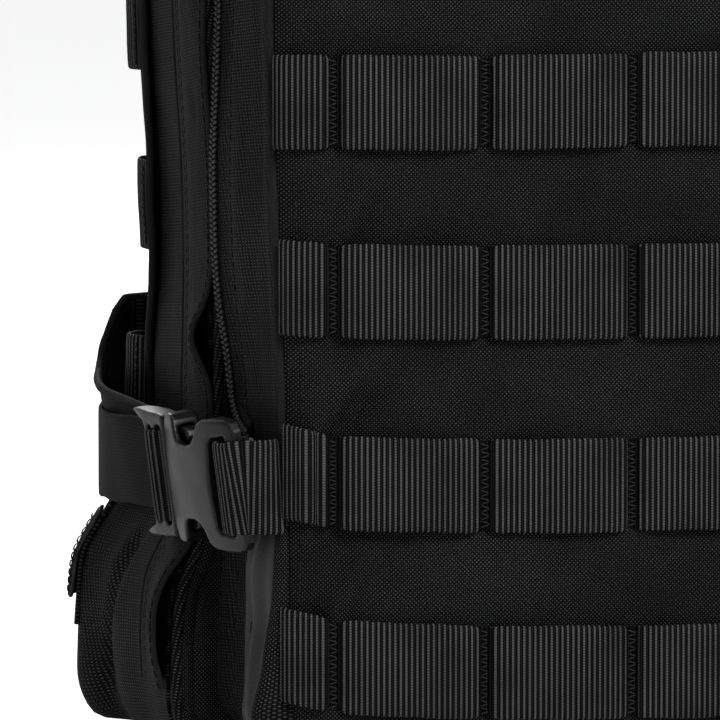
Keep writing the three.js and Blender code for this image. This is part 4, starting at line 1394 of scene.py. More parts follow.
# male half: a bar frame with two horns, and prongs that show in the waists
BAR = 40.8   # u where the bar frame begins
MALE_OUTLINE = across_loop([
    (BAR, 16.6), (BAR + 4, 17.0), (BAR + 9, 17.2), (BAR + 13, 17.4), (BAR + 17, 17.6),
    (BAR + 20.3, 17.4), (BAR + 20.5, 16.7), (BAR + 17, 15.4), (BAR + 13.2, 14.2),
    (BAR + 12.4, 12.8)])
PRONG = [(BAR + 1, 13.4), (BAR + 1, 9.8), (32.4, 9.0), (27.8, 10.0), (26.9, 11.4), (27.6, 13.6),
         (31, 14.2), (35, 13.9)]
TONGUE = [(31.6, -4), (BAR + 1, -4), (BAR + 1, 4), (31.6, 4)]
bar_gaps = [([(BAR + a, -13.4), (BAR + b, -13.4), (BAR + b, 13.4), (BAR + a, 13.4)], -8.2, 8.2)
            for a, b in ((2.0, 5.0), (8.0, 10.4))]
prongs = [([(u, v * side) for u, v in PRONG], -2.0, 2.0) for side in (1, -1)]
male_verts, male_faces = moulded(
    (MALE_OUTLINE, -3.2, 3.2), prongs + [(TONGUE, -1.4, 1.4)], bar_gaps)
# the horns taper to thin tips
tip = ease(BAR + 12, BAR + 20.5, male_verts[:, 0])
male_verts[:, 2] *= 1 - 0.62 * tip
male_verts[:, 2] += 1.0 * tip
MALE = male_verts, male_faces


def buckle_frame(origin, yaw, roll=8.0):
    """Origin and the u, v and w directions of a buckle on the +X side."""
    yaw, roll = math.radians(yaw), math.radians(roll)
    out = np.array([math.cos(yaw), -math.sin(yaw), 0.0])
    up = np.array([0, 0, 1.0])
    return (np.array(origin, float), np.array([math.sin(yaw), math.cos(yaw), 0.0]),
            math.cos(roll) * up + math.sin(roll) * out,
            math.cos(roll) * out - math.sin(roll) * up)


def local(place, points):
    origin, u_dir, v_dir, w_dir = place
    points = np.asarray(points, float)
    return origin + points[:, :1] * u_dir + points[:, 1:2] * v_dir + points[:, 2:3] * w_dir


def put(place, mould, uv_axes=(1, 2), scale=(1, 1, 1)):
    """A moulded piece set in a frame."""
    place = [np.array(v, float) for v in place]
    verts, faces = mould
    _, u_dir, v_dir, w_dir = place
    if np.dot(np.cross(u_dir, v_dir), w_dir) < 0:
        faces = [f[::-1] for f in faces]
    verts = local(place, verts * scale)
    return Parts().add(verts, faces, verts[:, list(uv_axes)])


def buckle_set(level, place, female_body, front_start, rear_tail):
    _, _, v_dir, w_dir = place
    both_sides(put(place, FEMALE), f"%s_{level}_buckle_plate", female_body, PLASTIC, "plastic",
               f"%s_{level}_buckle_female")
    both_sides(put(place, MALE), f"%s_{level}_buckle_prongs", f"%s_{level}_buckle", PLASTIC,
               "plastic", f"%s_{level}_buckle_male")
    # front webbing: from the seam, over the bar, down through the slot and back underneath
    over = local(place, [(-1.4, 0, 4.2), (1.4, 0, 4.9), (4.2, 0, 4.6), (6.2, 0, 3.0),
                         (6.9, 0, 0.4), (6.2, 0, -1.9), (3.6, 0, -3.2), (-1.5, 0, -3.5)])
    path = catmull(np.concatenate([front_start, over]), 0.3)
    both_sides(webbing(Parts(), path, width_along(path, v_dir, w_dir, len(path) // 3), WEB_WIDTH,
                       1.6, 0.32, 0.3, seed=5),
               f"%s_{level}_front_strap", female_body, WEB, "webbing", f"%s_{level}_front_webbing")
    # rear webbing: a flat strap going back, upright once it leaves the buckle
    path = catmull(rear_tail, 0.8)
    lean = ease(40, 5, path[:, 1])[:, None]
    across = unit(v_dir * lean + np.array([0, 0, 1.0]) * (1 - lean))
    both_sides(webbing(Parts(), path, width_along(path, across, w_dir, 5), 25.4, 1.5, ribs=0.0,
                       edge_wave=0.5, seed=7),
               f"%s_{level}_rear_strap", PACK, FLAT_WEB, "webbing", f"%s_{level}_rear_webbing")
    # its ribbed turn round the male bar
    turn = [(3.4, -3.2), (3.3, 0.6), (3.8, 3.4), (5.6, 4.5), (7.8, 4.4), (9.6, 3.3), (10.6, 0.6),
            (11.6, -2.6)]
    path = catmull(local(place, [(BAR + u, 0, w) for u, w in turn]), 0.25)
    both_sides(webbing(Parts(), path, width_along(path, v_dir, w_dir, len(path) // 2), WEB_WIDTH,
                       1.5, 0.35, 0.25, seed=9),
               f"%s_{level}_strap_turn", f"%s_{level}_buckle", WEB, "webbing")


lower = buckle_frame((142.5, -83, LOWER_Z), yaw=12)
upper = buckle_frame((154.5, -34, UPPER_Z), yaw=1)


def level_points(z, points):
    return np.array([(x, y, z) for x, y in points], float)


buckle_set(
    "lower", lower, FRONT_POCKET,
    level_points(LOWER_Z, [(131.2, -79.5), (131.9, -83.4), (133.6, -86.3), (136.8, -87.7),
                           (140.0, -87.9), (142.8, -87.2)]),
    np.concatenate([
        local(lower, [(50, 0, -4.5), (66, 0, -4.5), (84, 0, -4.5)]),
        level_points(LOWER_Z, [(156.6, 12), (157.0, 24), (155.6, 38), (152.4, 52), (147.6, 66),
                               (141.5, 75.0), (132, 76.4)])]))
buckle_set(
    "upper", upper, LID,
    level_points(UPPER_Z, [(128.0, -46.8), (140.0, -48.0), (148.5, -48.0)]),
    np.concatenate([
        local(upper, [(50, 0, -5.3), (62, 0, -6.0), (76, 0, -6.3), (86, 0, -6.2)]),
        level_points(UPPER_Z, [(147.6, 61), (145.0, 69), (138.6, 75.7), (128, 76.4)])]))


# ---------------------------------------------------------------- cloth wing of the lower strap
# columns: x, y, height of the top edge
WING = np.array([
    (146.3, -34, 91.0), (149.8, -17, 94.2), (153.4, 0, 95.6), (154.7, 12, 96.6),
    (155.1, 24, 97.6), (153.8, 38, 99.4), (150.7, 52, 101.6), (148.4, 59, 104.5),
    (146.4, 64.4, 110.0), (144.0, 68.5, 117.0), (140.8, 73.0, 120.5), (132.0, 74.9, 121.0)])
# rows 7 and 9 only set the height; the path does not pass through them
wing = catmull(np.delete(WING, [7, 9], 0)[:, :2], 1.2)
x, y = wing.T
nearest = [int(np.argmin(np.hypot(x - a, y - b))) for a, b in WING[:, :2]]
top = np.interp(arc(wing), arc(wing)[nearest], WING[:, 2])
top = top + 0.5 * noise(stack(y, 0, 3), (17, 9, 9), 101)
t = np.linspace(0, 1, 14)[:, None]
panel = stack(x + 2.6 * t * t * ease(6, 34, y) * ease(72, 62, y), y, lerp(72.0, top, t))
both_sides(facing_sheet(Parts(), panel, 1.2, RIGHT, panel[..., 1:]),
           "%s_strap_wing", PACK, CORDURA, "cordura")
both_sides(tube(Parts(), panel[-1], 1.25, up=UP),
           "%s_strap_wing_binding", PACK, TAPE, "webbing")


# ---------------------------------------------------------------- upper pocket
UPPER_HALF, UPPER_LOW, UPPER_TOP, UPPER_CHAMFER, UPPER_CORNER = 115.6, 302.5, 417.6, 32, 12
UPPER_MID_Z = 358.0


def chamfered_perimeter(half, low, top, cut, radius):
    """Rounded below, with the upper corners cut off on a slant."""
    points = low_corner(half, low, radius, 7) + [
        (half, top - cut - 8), (half - 1.5, top - cut), (half - 9, top - cut * 0.62),
        (half - cut * 0.62, top - 9), (half - cut, top - 1.5), (half - cut - 8, top), (0, top)]
    return resample(catmull(mirror_loop(points), 1.0, closed=True), 1.6, closed=True)


loop = chamfered_perimeter(UPPER_HALF, UPPER_LOW, UPPER_TOP, UPPER_CHAMFER, UPPER_CORNER)
loop_x, loop_z = loop.T
loop_nx, loop_nz = loop_normals(loop).T
loop_s = arc(wrap(loop))[:-1]

t = np.concatenate([[1.0, 0.994, 0.984, 0.97], np.linspace(0.95, 0.03, 46)])[:, None]
x, z = loop_x * t, UPPER_MID_Z + (loop_z - UPPER_MID_Z) * t
inset = (1 - t) * 60.0
d = 1.4 * (1 - t ** 3) + 1.0 * fbm(stack(x, 0, z), (46, 60, 34), 81) * ease(0, 9, inset)
d = d - 0.7 * bell(z, UPPER_ROW_Z, 12.0, 4)
d = d + np.exp(-inset / 18.0) * 1.2 * fbm(stack(x, 0, z), (9, 9, 12), 82, 2) * ease(0, 6, inset)
face = stack(x, -72.6 + rolled_edge(inset, 4.0, 3.0) - d * 0.9, z)
piece(closed_disc(Parts(), face, 1.3, front=True),
      "upper_pocket_face", UPPER_POCKET, CORDURA, "cordura", "upper_pocket")

t = np.linspace(0, 1, 20)[:, None]
y = lerp(-70.0, POCKET_BACK, t)
puff = np.sin(math.pi * t)
d = 1.6 * puff + puff * 0.9 * fbm(stack(loop_s, y * 1.5, 0), (30, 14, 10), 83)
d = d - 0.4 * bell(t, 0.72, 0.05)
wall = stack(loop_x + loop_nx * d, y, loop_z + loop_nz * d)
piece(sheet(Parts(), wall, pair(loop_s, np.linspace(0, 26, 20)[:, None]), 1.2, close_u=True,
            flip=True),
      "upper_pocket_wall", UPPER_POCKET, BIAS_CLOTH, "cordura")
lip = stack(loop_x + loop_nx * 0.3, -70.4, loop_z + loop_nz * 0.3)
piece(tube(Parts(), lip, 1.3, closed=True, up=FRONT),
      "upper_pocket_piping", UPPER_POCKET, TAPE, "cordura")

# zip along the pocket's sides and top
first, last = (int(np.argmin(np.hypot(loop_x - x_end, loop_z - 318)))
               for x_end in (UPPER_HALF, -UPPER_HALF))
path = stack(loop_x, -46.4, loop_z)[first:last + 1]
piece(zip_chain(Parts(), path, away_from(np.array([0, -46.4, UPPER_MID_Z]), 0.3), lean=0.9,
                lift=1.2),
      "upper_zip_coil", LID, COIL, "webbing")
seams = Parts()
wall_normals = -grid_normals(wall, True)
for i in (14, 18):
    line = wrap(wall[i])
    stitches(seams, line, carried(line, wrap(wall_normals[i])))
piece(seams, "upper_pocket_seams", UPPER_POCKET, THREAD, "cordura")

# one row of ladder webbing and the loop field on it
x = np.linspace(-106, 106, 700)
bulge = np.zeros_like(x)
ends = [-106, *UPPER_TACKS, 106]
for a, c in zip(ends[:-1], ends[1:]):
    cell = (x >= a) & (x <= c)
    bulge[cell] = 1.5 * arch((x[cell] - a) / (c - a))
for tack in UPPER_TACKS:
    bulge -= 0.5 * bell(x, tack, 1.9)
path = stack(x, -74.9 - bulge, UPPER_ROW_Z + 0.2 * noise(stack(x, 3, 0), (30, 1, 1), 84))
piece(webbing(Parts(), path, FRONT, WEB_WIDTH, 1.7, 0.30, 0.37, seed=31),
      "upper_webbing_row", UPPER_POCKET, WEB, "webbing", "upper_row")
tacks = Parts()
for j, tack in enumerate(UPPER_TACKS + [-104, 104]):
    centre = np.array([tack, float(np.interp(tack, x, path[:, 1])) - 0.75, UPPER_ROW_Z])
    zigzag(tacks, centre, RIGHT, UP, FRONT, 22.6, 1.35, 1.0, 0.30, 200 + j)
piece(tacks, "upper_bar_tacks", UPPER_POCKET, TACK_THREAD, "webbing")


def panel_grid(x_span, z_span, columns, rows):
    """x and z over an upright rectangle, as (rows, columns) arrays."""
    return np.meshgrid(np.linspace(*x_span, columns), np.linspace(*z_span, rows))


x, z = panel_grid((-75.5, 75.5), (350.5, 403.5), 150, 54)
y = (-75.4 - 0.35 * noise(stack(x, 0, z), (6, 6, 6), 85)
     - 0.5 * noise(stack(x, 5, z), (40, 9, 40), 86))
piece(facing_sheet(Parts(), stack(x, y, z), 1.4, FRONT),
      "loop_panel", UPPER_POCKET, LOOP_PILE, "loop", "loop_field")
seams = Parts()
corners = [(-74, 352), (74, 352), (74, 402), (-74, 402), (-74, 352)]
for a, c in zip(corners[:-1], corners[1:]):
    stitches(seams, np.array([[a[0], -76.1, a[1]], [c[0], -76.1, c[1]]]), FRONT, pitch=3.0,
             length=2.2, radius=0.25)
piece(seams, "loop_panel_stitching", UPPER_POCKET, THREAD, "cordura")


# ---------------------------------------------------------------- sliders with cord pulls
def slider(centre, along, out, length=9.5, width=7.6, high=4.4):
    """A coil-zip slider: a rounded body with a bail over it."""
    parts = Parts()
    centre, along, out = np.array(centre), unit(along), unit(out)
    side = np.cross(along, out)
    c, s = super_circle(16, 0.6, 0.6)
    grid = []
    for t in np.linspace(-1, 1, 15):
        w = width / 2 * (1 - 0.30 * max(-t, 0) ** 1.5) * math.sqrt(max(1 - (abs(t) ** 6), 0.02))
        h = high / 2 * math.sqrt(max(1 - abs(t) ** 5, 0.03))
        grid.append(centre + along * (t * length / 2) + (w * c)[:, None] * side
                    + (h * s)[:, None] * out)
    rings(parts, np.array(grid))
    bail = [(-3.0, high * 0.35), (-2.4, high * 0.5 + 1.7), (0, high * 0.5 + 2.4),
            (2.4, high * 0.5 + 1.7), (3.0, high * 0.35)]
    return tube(parts, catmull([centre + along * a + out * h for a, h in bail], 0.5), 0.75, up=side)


def cord_pull(start, end, out, sag, radius=1.25):
    """A doubled cord knotted at its end."""
    parts = Parts()
    start, end, out = np.array(start, float), np.array(end, float), unit(out)
    side = unit(np.cross(unit(end - start), out))
    # columns: share of the way, distance to the side, share of the sag
    stations = [(0, 0.4, 0), (0.25, 1.3, 0.6), (0.6, 1.35, 1), (0.86, 0.8, 0.7)]
    for s in (1, -1):
        points = [lerp(start, end, t) + s * side * wide + out * sag * rise
                  for t, wide, rise in stations]
        tube(parts, catmull(points, 0.7), radius * 0.82, up=out)
    knot = lerp(start, end, 0.80)
    a = angles(12)
    around = np.cos(a)[:, None] * side + np.sin(a)[:, None] * out * 0.85
    grid = []
    for t in np.linspace(0, 1, 12):
        swell = 1.5 + 0.9 * math.sin(math.pi * min(t * 1.05, 1)) ** 0.7
        r = radius * swell * (1 - 0.25 * t) * (1 if 0 < t < 1 else 0.55)
        grid.append(knot + (end - knot) * t + out * sag * 0.6 + r * around)
    return rings(parts, np.array(grid))


def zip_pull(name, centre, along, out, cord_start, cord_end, cord_out, sag):
    piece(slider(centre, along, out), f"{name}_body", name, METAL, "zip_metal", name)
    piece(cord_pull(cord_start, cord_end, cord_out, sag), f"{name}_cord", name, BINDING, "webbing")


for side, s in (("right", 1), ("left", -1)):
    zip_pull(f"{side}_main_slider", (s * 148.2, -39.6, 285.5), (s * 0.03, 0, 1.0),
             (s * 1.0, -0.15, 0), (s * 151.2, -40.0, 284), (s * 153.0, -40.0, 243), (s, 0, 0), 0.9)
zip_pull("pocket_slider", (101.0, -48.2, 265.0), RIGHT, (0, -0.45, 1.0),
         (99, -50.0, 266.2), (60, -49.5, 264.6), (0, -0.3, 1.0), 0.5)
zip_pull("upper_slider", (60.0, -47.9, 421.2), RIGHT, (0, -0.45, 1.0),
         (58, -50.0, 423.2), (18, -49.5, 421.6), (0, -0.3, 1.0), 0.5)


# ---------------------------------------------------------------- inside the lid and compartment
# net pocket on the lid's inner face
NET_HALF, NET_LOW, NET_TOP = 117.5, 60.5, 371.5
x, z = panel_grid((-NET_HALF, NET_HALF), (NET_LOW, NET_TOP), 84, 110)
rise = np.minimum(np.minimum(NET_HALF - np.abs(x), z - NET_LOW), 14) / 14.0
y = -37.4 + 5.0 * quarter_round(rise) + 0.9 * fbm(stack(x, 0, z), (40, 40, 40), 91) * rise
net = stack(x, y, z)
piece(facing_sheet(Parts(), net, 0.9, BACK), "lid_net", LID, POCKET_NET, "air_mesh",
      "lid_mesh_pocket")
binding = tube(Parts(), net[-1] + [0, 0.2, 0], 2.0, up=BACK)
for edge in (net[0], net[:, 0], net[:, -1]):
    tube(binding, edge + [0, 0.3, 0], 1.4, up=BACK)
piece(binding, "lid_net_binding", LID, BINDING, "webbing")
zip_line_x = np.linspace(-108, 108, 200)
path = stack(zip_line_x, np.interp(zip_line_x, x[0], y[70]) + 0.6, z[70, 0])
piece(zip_chain(Parts(), path, BACK, pitch=1.6, spread=0.7, radius=0.55),
      "lid_net_zip", LID, COIL, "webbing")

# organiser on the lid's front, inside the front pocket
x, z = panel_grid((-115.5, 115.5), (26.5, 235), 60, 80)
back_sheet = facing_sheet(
    Parts(), stack(x, -46.0 - 0.4 * fbm(stack(x, 1, z), (50, 50, 50), 93), z), 1.0, FRONT)
# columns: left, right, bottom, top, depth
SLEEVES = [(-114, -42, 28, 128, 8.0), (-38, 38, 28, 128, 8.5), (42, 114, 28, 128, 8.0),
           (-114, -2, 138, 226, 6.5), (2, 114, 138, 226, 6.5)]
sleeves, binding = Parts(), Parts()
for x0, x1, z0, z1, depth in SLEEVES:
    x, z = panel_grid((x0, x1), (z0, z1), 34, 40)
    puff = (np.sin(math.pi * np.clip((x - x0) / (x1 - x0), 0, 1)) ** 0.45
            * np.clip((z - z0) / (z1 - z0) * 5, 0, 1) ** 0.5)
    y = -46.6 - depth * puff + 0.8 * fbm(stack(x, 2, z), (18, 18, 26), 94) * puff
    facing_sheet(sleeves, stack(x, y, z), 0.9, FRONT)
    x = np.linspace(x0, x1, 60)
    puff = np.sin(math.pi * (x - x0) / (x1 - x0)) ** 0.45
    tube(binding, stack(x, -46.8 - depth * puff, z1), 1.5, up=FRONT)
piece(back_sheet, "organiser_panel", LID, LINING, "lining", "pocket_organiser")
piece(sleeves, "organiser_sleeves", LID, SMOOTH_CLOTH, "cordura")
piece(binding, "organiser_binding", LID, BINDING, "webbing")

# sleeve against the back, with rows of elastic loops
x, z = panel_grid((-111.5, 111.5), (26.5, 299.5), 70, 90)
panel = stack(x, 61.0 + 0.8 * fbm(stack(x, 3, z), (50, 50, 50), 95), z)
piece(facing_sheet(Parts(), panel, 1.2, FRONT), "back_sleeve", PACK, LINING, "lining",
      "inner_sleeve")
piece(tube(Parts(), panel[-1] + [0, -0.3, 0], 2.0, up=FRONT),
      "back_sleeve_binding", PACK, BINDING, "webbing")
elastic = Parts()
x = np.linspace(-105, 105, 600)
y = 60.2 - 4.2 * np.abs(np.sin(math.pi * (x + 105) / 35.0)) ** 0.6
for height in (70, 130, 190, 250):
    webbing(elastic, stack(x, y, height), FRONT, 37.0, 1.2, 0.16, 0.5, seed=height)
piece(elastic, "elastic_loops", PACK, BINDING, "webbing")


# ---------------------------------------------------------------- padded parts
def inflate(grid, voxel, reach, shrink):
    """Remeshes a ring skin, blows it up as cloth, and limits how far any point may travel."""
    parts = rings(Parts(), grid)
    me = bpy.data.meshes.new("soft")
    me.from_pydata((np.concatenate(parts.verts) * MM).tolist(), [], parts.faces)
    ob = bpy.data.objects.new("soft", me)
    SCENE.collection.objects.link(ob)
    remesh = ob.modifiers.new("r", "REMESH")
    remesh.mode, remesh.voxel_size = "VOXEL", voxel * MM
    smooth = ob.modifiers.new("s", "SMOOTH")
    smooth.factor, smooth.iterations = 0.5, 3
    apply_all(ob)
    normals = np.array([v.normal[:] for v in ob.data.vertices])
    rest = np.array([v.co[:] for v in ob.data.vertices]) + normals * shrink * MM
    ob.data.vertices.foreach_set("co", rest.ravel())
    ob.data.update()
    frames = 20
    cloth = ob.modifiers.new("cloth", "CLOTH")
    settings = cloth.settings
    settings.quality = 5
    settings.mass = 0.3
    settings.use_pressure = True
    settings.uniform_pressure_force = 4.0
    settings.tension_stiffness = settings.compression_stiffness = 18
    settings.shear_stiffness = 8
    settings.bending_stiffness = 2.5
    settings.effector_weights.gravity = 0.0
    cloth.point_cache.frame_start, cloth.point_cache.frame_end = 1, frames
    for number in range(1, frames + 1):
        SCENE.frame_set(number)
    dg = bpy.context.evaluated_depsgraph_get()
    evaluated = ob.evaluated_get(dg).to_mesh()
    now = np.array([v.co[:] for v in evaluated.vertices])
    SCENE.frame_set(1)
    ob.modifiers.clear()
    move = now - rest
    size = np.linalg.norm(move, axis=1, keepdims=True)
    new = rest + move * np.minimum(1, reach * MM / np.maximum(size, 1e-9))
    ob.data.vertices.foreach_set("co", new.ravel())
    ob.data.update()
    subdivide = ob.modifiers.new("sd", "SUBSURF")
    subdivide.levels = subdivide.render_levels = 1
    apply_all(ob)
    verts = np.array([v.co[:] for v in ob.data.vertices]) / MM
    faces = [tuple(p.vertices) for p in ob.data.polygons]
    bpy.data.objects.remove(ob)
    return verts, faces


# right shoulder pad, from the yoke down: x, y, z, width, thickness
SHOULDER_PAD = np.array([
    (52, 84, 404, 58, 9), (54, 98, 396, 60, 11), (58, 110, 374, 62, 12), (63, 116, 345, 64, 12),
    (69, 118, 310, 64, 12), (76, 118, 270, 62, 12), (83, 116, 232, 58, 11),
    (89, 112, 196, 52, 10.5), (93, 107, 166, 45, 9), (94, 105.5, 155, 37, 7)], float)
spine = catmull(SHOULDER_PAD[:, :3], 3.0)
length = arc(spine)
key = [int(np.argmin(np.linalg.norm(spine - c, axis=1))) for c in SHOULDER_PAD[:, :3]]
pad_width, pad_thick = (np.interp(length, length[key], SHOULDER_PAD[:, c]) for c in (3, 4))
t = tangents(spine)
side = unit(np.cross(t, np.broadcast_to([0, 1.0, 0], t.shape)))
normal = unit(np.cross(side, t))
c, s = super_circle(28, 0.6, 0.6)
verts, faces = inflate(
    spine[:, None] + (pad_width[:, None] / 2 * c[None, :])[..., None] * side[:, None]
    + (pad_thick[:, None] / 2 * s[None, :])[..., None] * normal[:, None],
    voxel=4.5, reach=1.3, shrink=-1.2)
# a quilted channel down each long side
near = np.array([int(np.argmin(((spine - v) ** 2).sum(1))) for v in verts])
sideways = ((verts - spine[near]) * side[near]).sum(1)
depth = ((verts - spine[near]) * normal[near]).sum(1)
groove = 1.5 * bell(pad_width[near] / 2 - np.abs(sideways), 8.0, 2.0)
verts = verts - normal[near] * (np.sign(depth) * groove * (np.abs(depth) > 2))[:, None]
both_sides(Parts().add(verts, faces, verts[:, [0, 2]]), "%s_shoulder_pad_mesh", SHOULDER,
           SPACER_MESH, "air_mesh", "%s_shoulder_pad")

# the binding runs down one long side, round the lower end and up the other
inset = (pad_width / 2 - 4.3)[:, None]
tail = spine[-1] - unit(spine[-1] - spine[-2]) * 1.6
end_half = pad_width[-1] / 2 - 6.4
edge = np.concatenate([
    (spine + side * inset)[4:-2], [tail + side[-1] * end_half], [tail + side[-1] * 6.0],
    [tail - side[-1] * 6.0], [tail - side[-1] * end_half], (spine - side * inset)[4:-2][::-1]])
edge_up = np.concatenate([normal[4:-2], np.repeat(normal[-1:], 4, 0), normal[4:-2][::-1]])
path = catmull(edge, 2.0)
near = [int(np.argmin(((edge - p) ** 2).sum(1))) for p in path]
both_sides(tube(Parts(), path, 2.8, 10, up=edge_up[near], flat=1.15),
           "%s_shoulder_pad_binding", SHOULDER, BINDING, "webbing")

# webbing down the pad's face
out = normal * np.where(normal[:, 1:2] > 0, 1, -1)
face = spine + out * (pad_thick / 2 + 1.1)[:, None]
both_sides(webbing(Parts(), face[8:-2], carried(face[8:-2], out[8:-2]), WEB_WIDTH, 1.6, 0.28, 0.4,
                   seed=41),
           "%s_shoulder_strap_webbing", SHOULDER, WEB, "webbing")
# the same webbing goes on round the top bar of the ladder lock and back under the pad
path = catmull(np.concatenate([[face[-7] - out[-7] * 0.6, face[-4] - out[-4] * 0.5], np.array([
    (93.9, 110.4, 156.5), (94, 109.3, 153.4), (94, 108.7, 150.4), (94, 108.2, 147.8),
    (94, 106.4, 145.7), (94, 103.4, 145.2), (94, 100.9, 146.0), (94, 99.8, 148.2),
    (94, 99.6, 151.6), (94, 100.1, 155.5), (93.9, 100.7, 160.0), (93.7, 101.2, 165.0)])]), 0.4)
both_sides(webbing(Parts(), path, width_along(path, RIGHT, BACK, 5), 22.0, 1.5, 0.28, 0.3,
                   seed=42),
           "%s_strap_end_loop", SHOULDER, WEB, "webbing")
tacks = Parts()
for i in range(14, len(face) - 8, 17):
    zigzag(tacks, face[i] + out[i] * 0.9, unit(spine[i + 1] - spine[i]), side[i], out[i],
           22.0, 1.3, 1.05, 0.28, i)
both_sides(tacks, "%s_shoulder_strap_tacks", SHOULDER, TACK_THREAD, "webbing")


def end_round(end):
    """How full a pad is at a distance from its end."""
    return math.sqrt(max(1 - max(0, 1 - end / 14.0) ** 2, 0.02))


def finish_back_pad(verts, faces, inset):
    """A groove along the edge, and the back kept clear of the pack's panel."""
    y = verts[:, 1]
    y -= np.where(y > 80, 2.2 * bell(inset, 7.5, 2.2), 0)
    verts[:, 1] = np.maximum(y, 74.2)
    return Parts().add(verts, faces, verts[:, [0, 2]])


# back pads
grid = []
c, s = super_circle(40, 0.4, 0.5)
for t in np.linspace(0, 1, 40):
    z = lerp(93, 395, t)
    full = end_round(min(z - 92, 396 - z))
    x0, x1 = 26.5 + 12 * (1 - full), 109.5 - 12 * (1 - full)
    grid.append(np.stack([(x0 + x1) / 2 + (x1 - x0) / 2 * c, 80.2 + 5.6 * s * max(full, 0.45),
                          np.full(40, z)], -1))
verts, faces = inflate(np.array(grid), voxel=5.0, reach=1.8, shrink=-0.8)
x, y, z = verts.T
for quilt_z in (168, 243, 318):
    y -= np.where(y > 80, 3.6 * bell(z - 0.10 * np.abs(x - 68), quilt_z, 3.4), 0)
inset = np.minimum(np.minimum(x - 26.5, 109.5 - x), np.minimum(z - 92, 396 - z))
both_sides(finish_back_pad(verts, faces, inset),
           "%s_back_pad_mesh", PACK, SPACER_MESH, "air_mesh", "%s_back_pad")
rim = catmull([(38, 76, 93.5), (98, 76, 93.5), (108.5, 76, 104), (108.8, 76, 240),
               (108.5, 76, 384), (98, 76, 394.5), (38, 76, 394.5), (27.5, 76, 384),
               (27.2, 76, 240), (27.5, 76, 104)], 1.5, closed=True)
both_sides(tube(Parts(), rim, 2.1, 10, closed=True, up=BACK),
           "%s_back_pad_binding", PACK, BINDING, "webbing")

# lumbar pad
grid = []
c, s = super_circle(36, 0.4, 0.5)
for t in np.linspace(0, 1, 60):
    x = lerp(-97.5, 97.5, t)
    full = end_round(97.9 - abs(x))
    grid.append(np.stack([np.full(36, x), 80.6 + 6.0 * s * max(full, 0.45),
                          49 + (34.5 - 9 * (1 - full)) * c], -1))
verts, faces = inflate(np.array(grid), voxel=5.0, reach=1.8, shrink=-0.8)
x, y, z = verts.T
y -= np.where(y > 80, 3.0 * bell(np.abs(x), 40, 3.2), 0)
inset = np.minimum(97.5 - np.abs(x), np.minimum(z - 14.5, 83.5 - z))
piece(finish_back_pad(verts, faces, inset),
      "lumbar_pad_mesh", PACK, SPACER_MESH, "air_mesh", "lumbar_pad")
rim = catmull([(-86, 76, 15.5), (86, 76, 15.5), (96.5, 76, 25), (96.5, 76, 73), (86, 76, 82.6),
               (-86, 76, 82.6), (-96.5, 76, 73), (-96.5, 76, 25)], 1.5, closed=True)
piece(tube(Parts(), rim, 2.1, 10, closed=True, up=BACK),
      "lumbar_pad_binding", PACK, BINDING, "webbing")

# harness yoke: a sewn panel where the straps join
YOKE_HALF, YOKE_LOW, YOKE_TOP = 95.7, 410.8, 433.7
x, z = panel_grid((-YOKE_HALF, YOKE_HALF), (YOKE_LOW, YOKE_TOP), 120, 16)
inset = np.minimum(np.minimum(YOKE_HALF - np.abs(x), z - YOKE_LOW), YOKE_TOP - z)
rise = np.clip(inset / 3.0, 0, 1)
y = 77.0 + 5.6 * quarter_round(rise) + 0.6 * fbm(stack(x, 4, z), (22, 22, 14), 96) * rise
piece(facing_sheet(Parts(), stack(x, y, z), 2.4, BACK),
      "harness_yoke_cloth", PACK, CORDURA, "cordura", "harness_yoke")
seams = Parts()
for height in (413.5, 417.0, 428.0, 431.2):
    row = int(np.argmin(np.abs(z[:, 0] - height)))
    stitches(seams, stack(x[0], y[row] + 0.15, height), BACK, radius=0.28)
for middle in (-72, -32, 32, 72):
    for slant in (1, -1):
        t = np.linspace(0, 1, 30)
        line_x, line_z = middle + lerp(-12 * slant, 12 * slant, t), lerp(412.5, 432, t)
        line_y = np.array([y[int(np.argmin(np.abs(z[:, 0] - b))), int(np.argmin(np.abs(x[0] - a)))]
                           for a, b in zip(line_x, line_z)]) + 0.2
        stitches(seams, stack(line_x, line_y, line_z), BACK, pitch=2.6, length=2.0)
piece(seams, "harness_yoke_stitching", PACK, THREAD, "webbing")

# anchor wings: doubled cloth that holds the lower straps; corners in (x, z)
ANCHOR = np.array([(140, 12), (143, 60), (120, 54), (112, 44), (112, 32)], float)
rim = catmull(ANCHOR, 1.2, closed=True)
centre = rim.mean(0)
t = np.concatenate([[1.0, 0.97], np.linspace(0.9, 0.04, 10)])[:, None]
x, z = (centre[c] + (rim[:, c] - centre[c]) * t for c in (0, 1))
y = 78.4 - 1.2 * (t > 0.98) + 0.4 * noise(stack(x, 0, z), (14, 14, 14), 97)
both_sides(closed_disc(Parts(), stack(x, y, z), 3.2, front=False),
           "%s_anchor_wing_cloth", PACK, CORDURA, "cordura", "%s_anchor_wing")
line = centre + (rim - centre) * 0.86
both_sides(stitches(Parts(), wrap(stack(line[:, 0], 78.8, line[:, 1])), BACK, pitch=3.0,
                    length=2.2),
           "%s_anchor_wing_stitching", PACK, THREAD, "cordura")

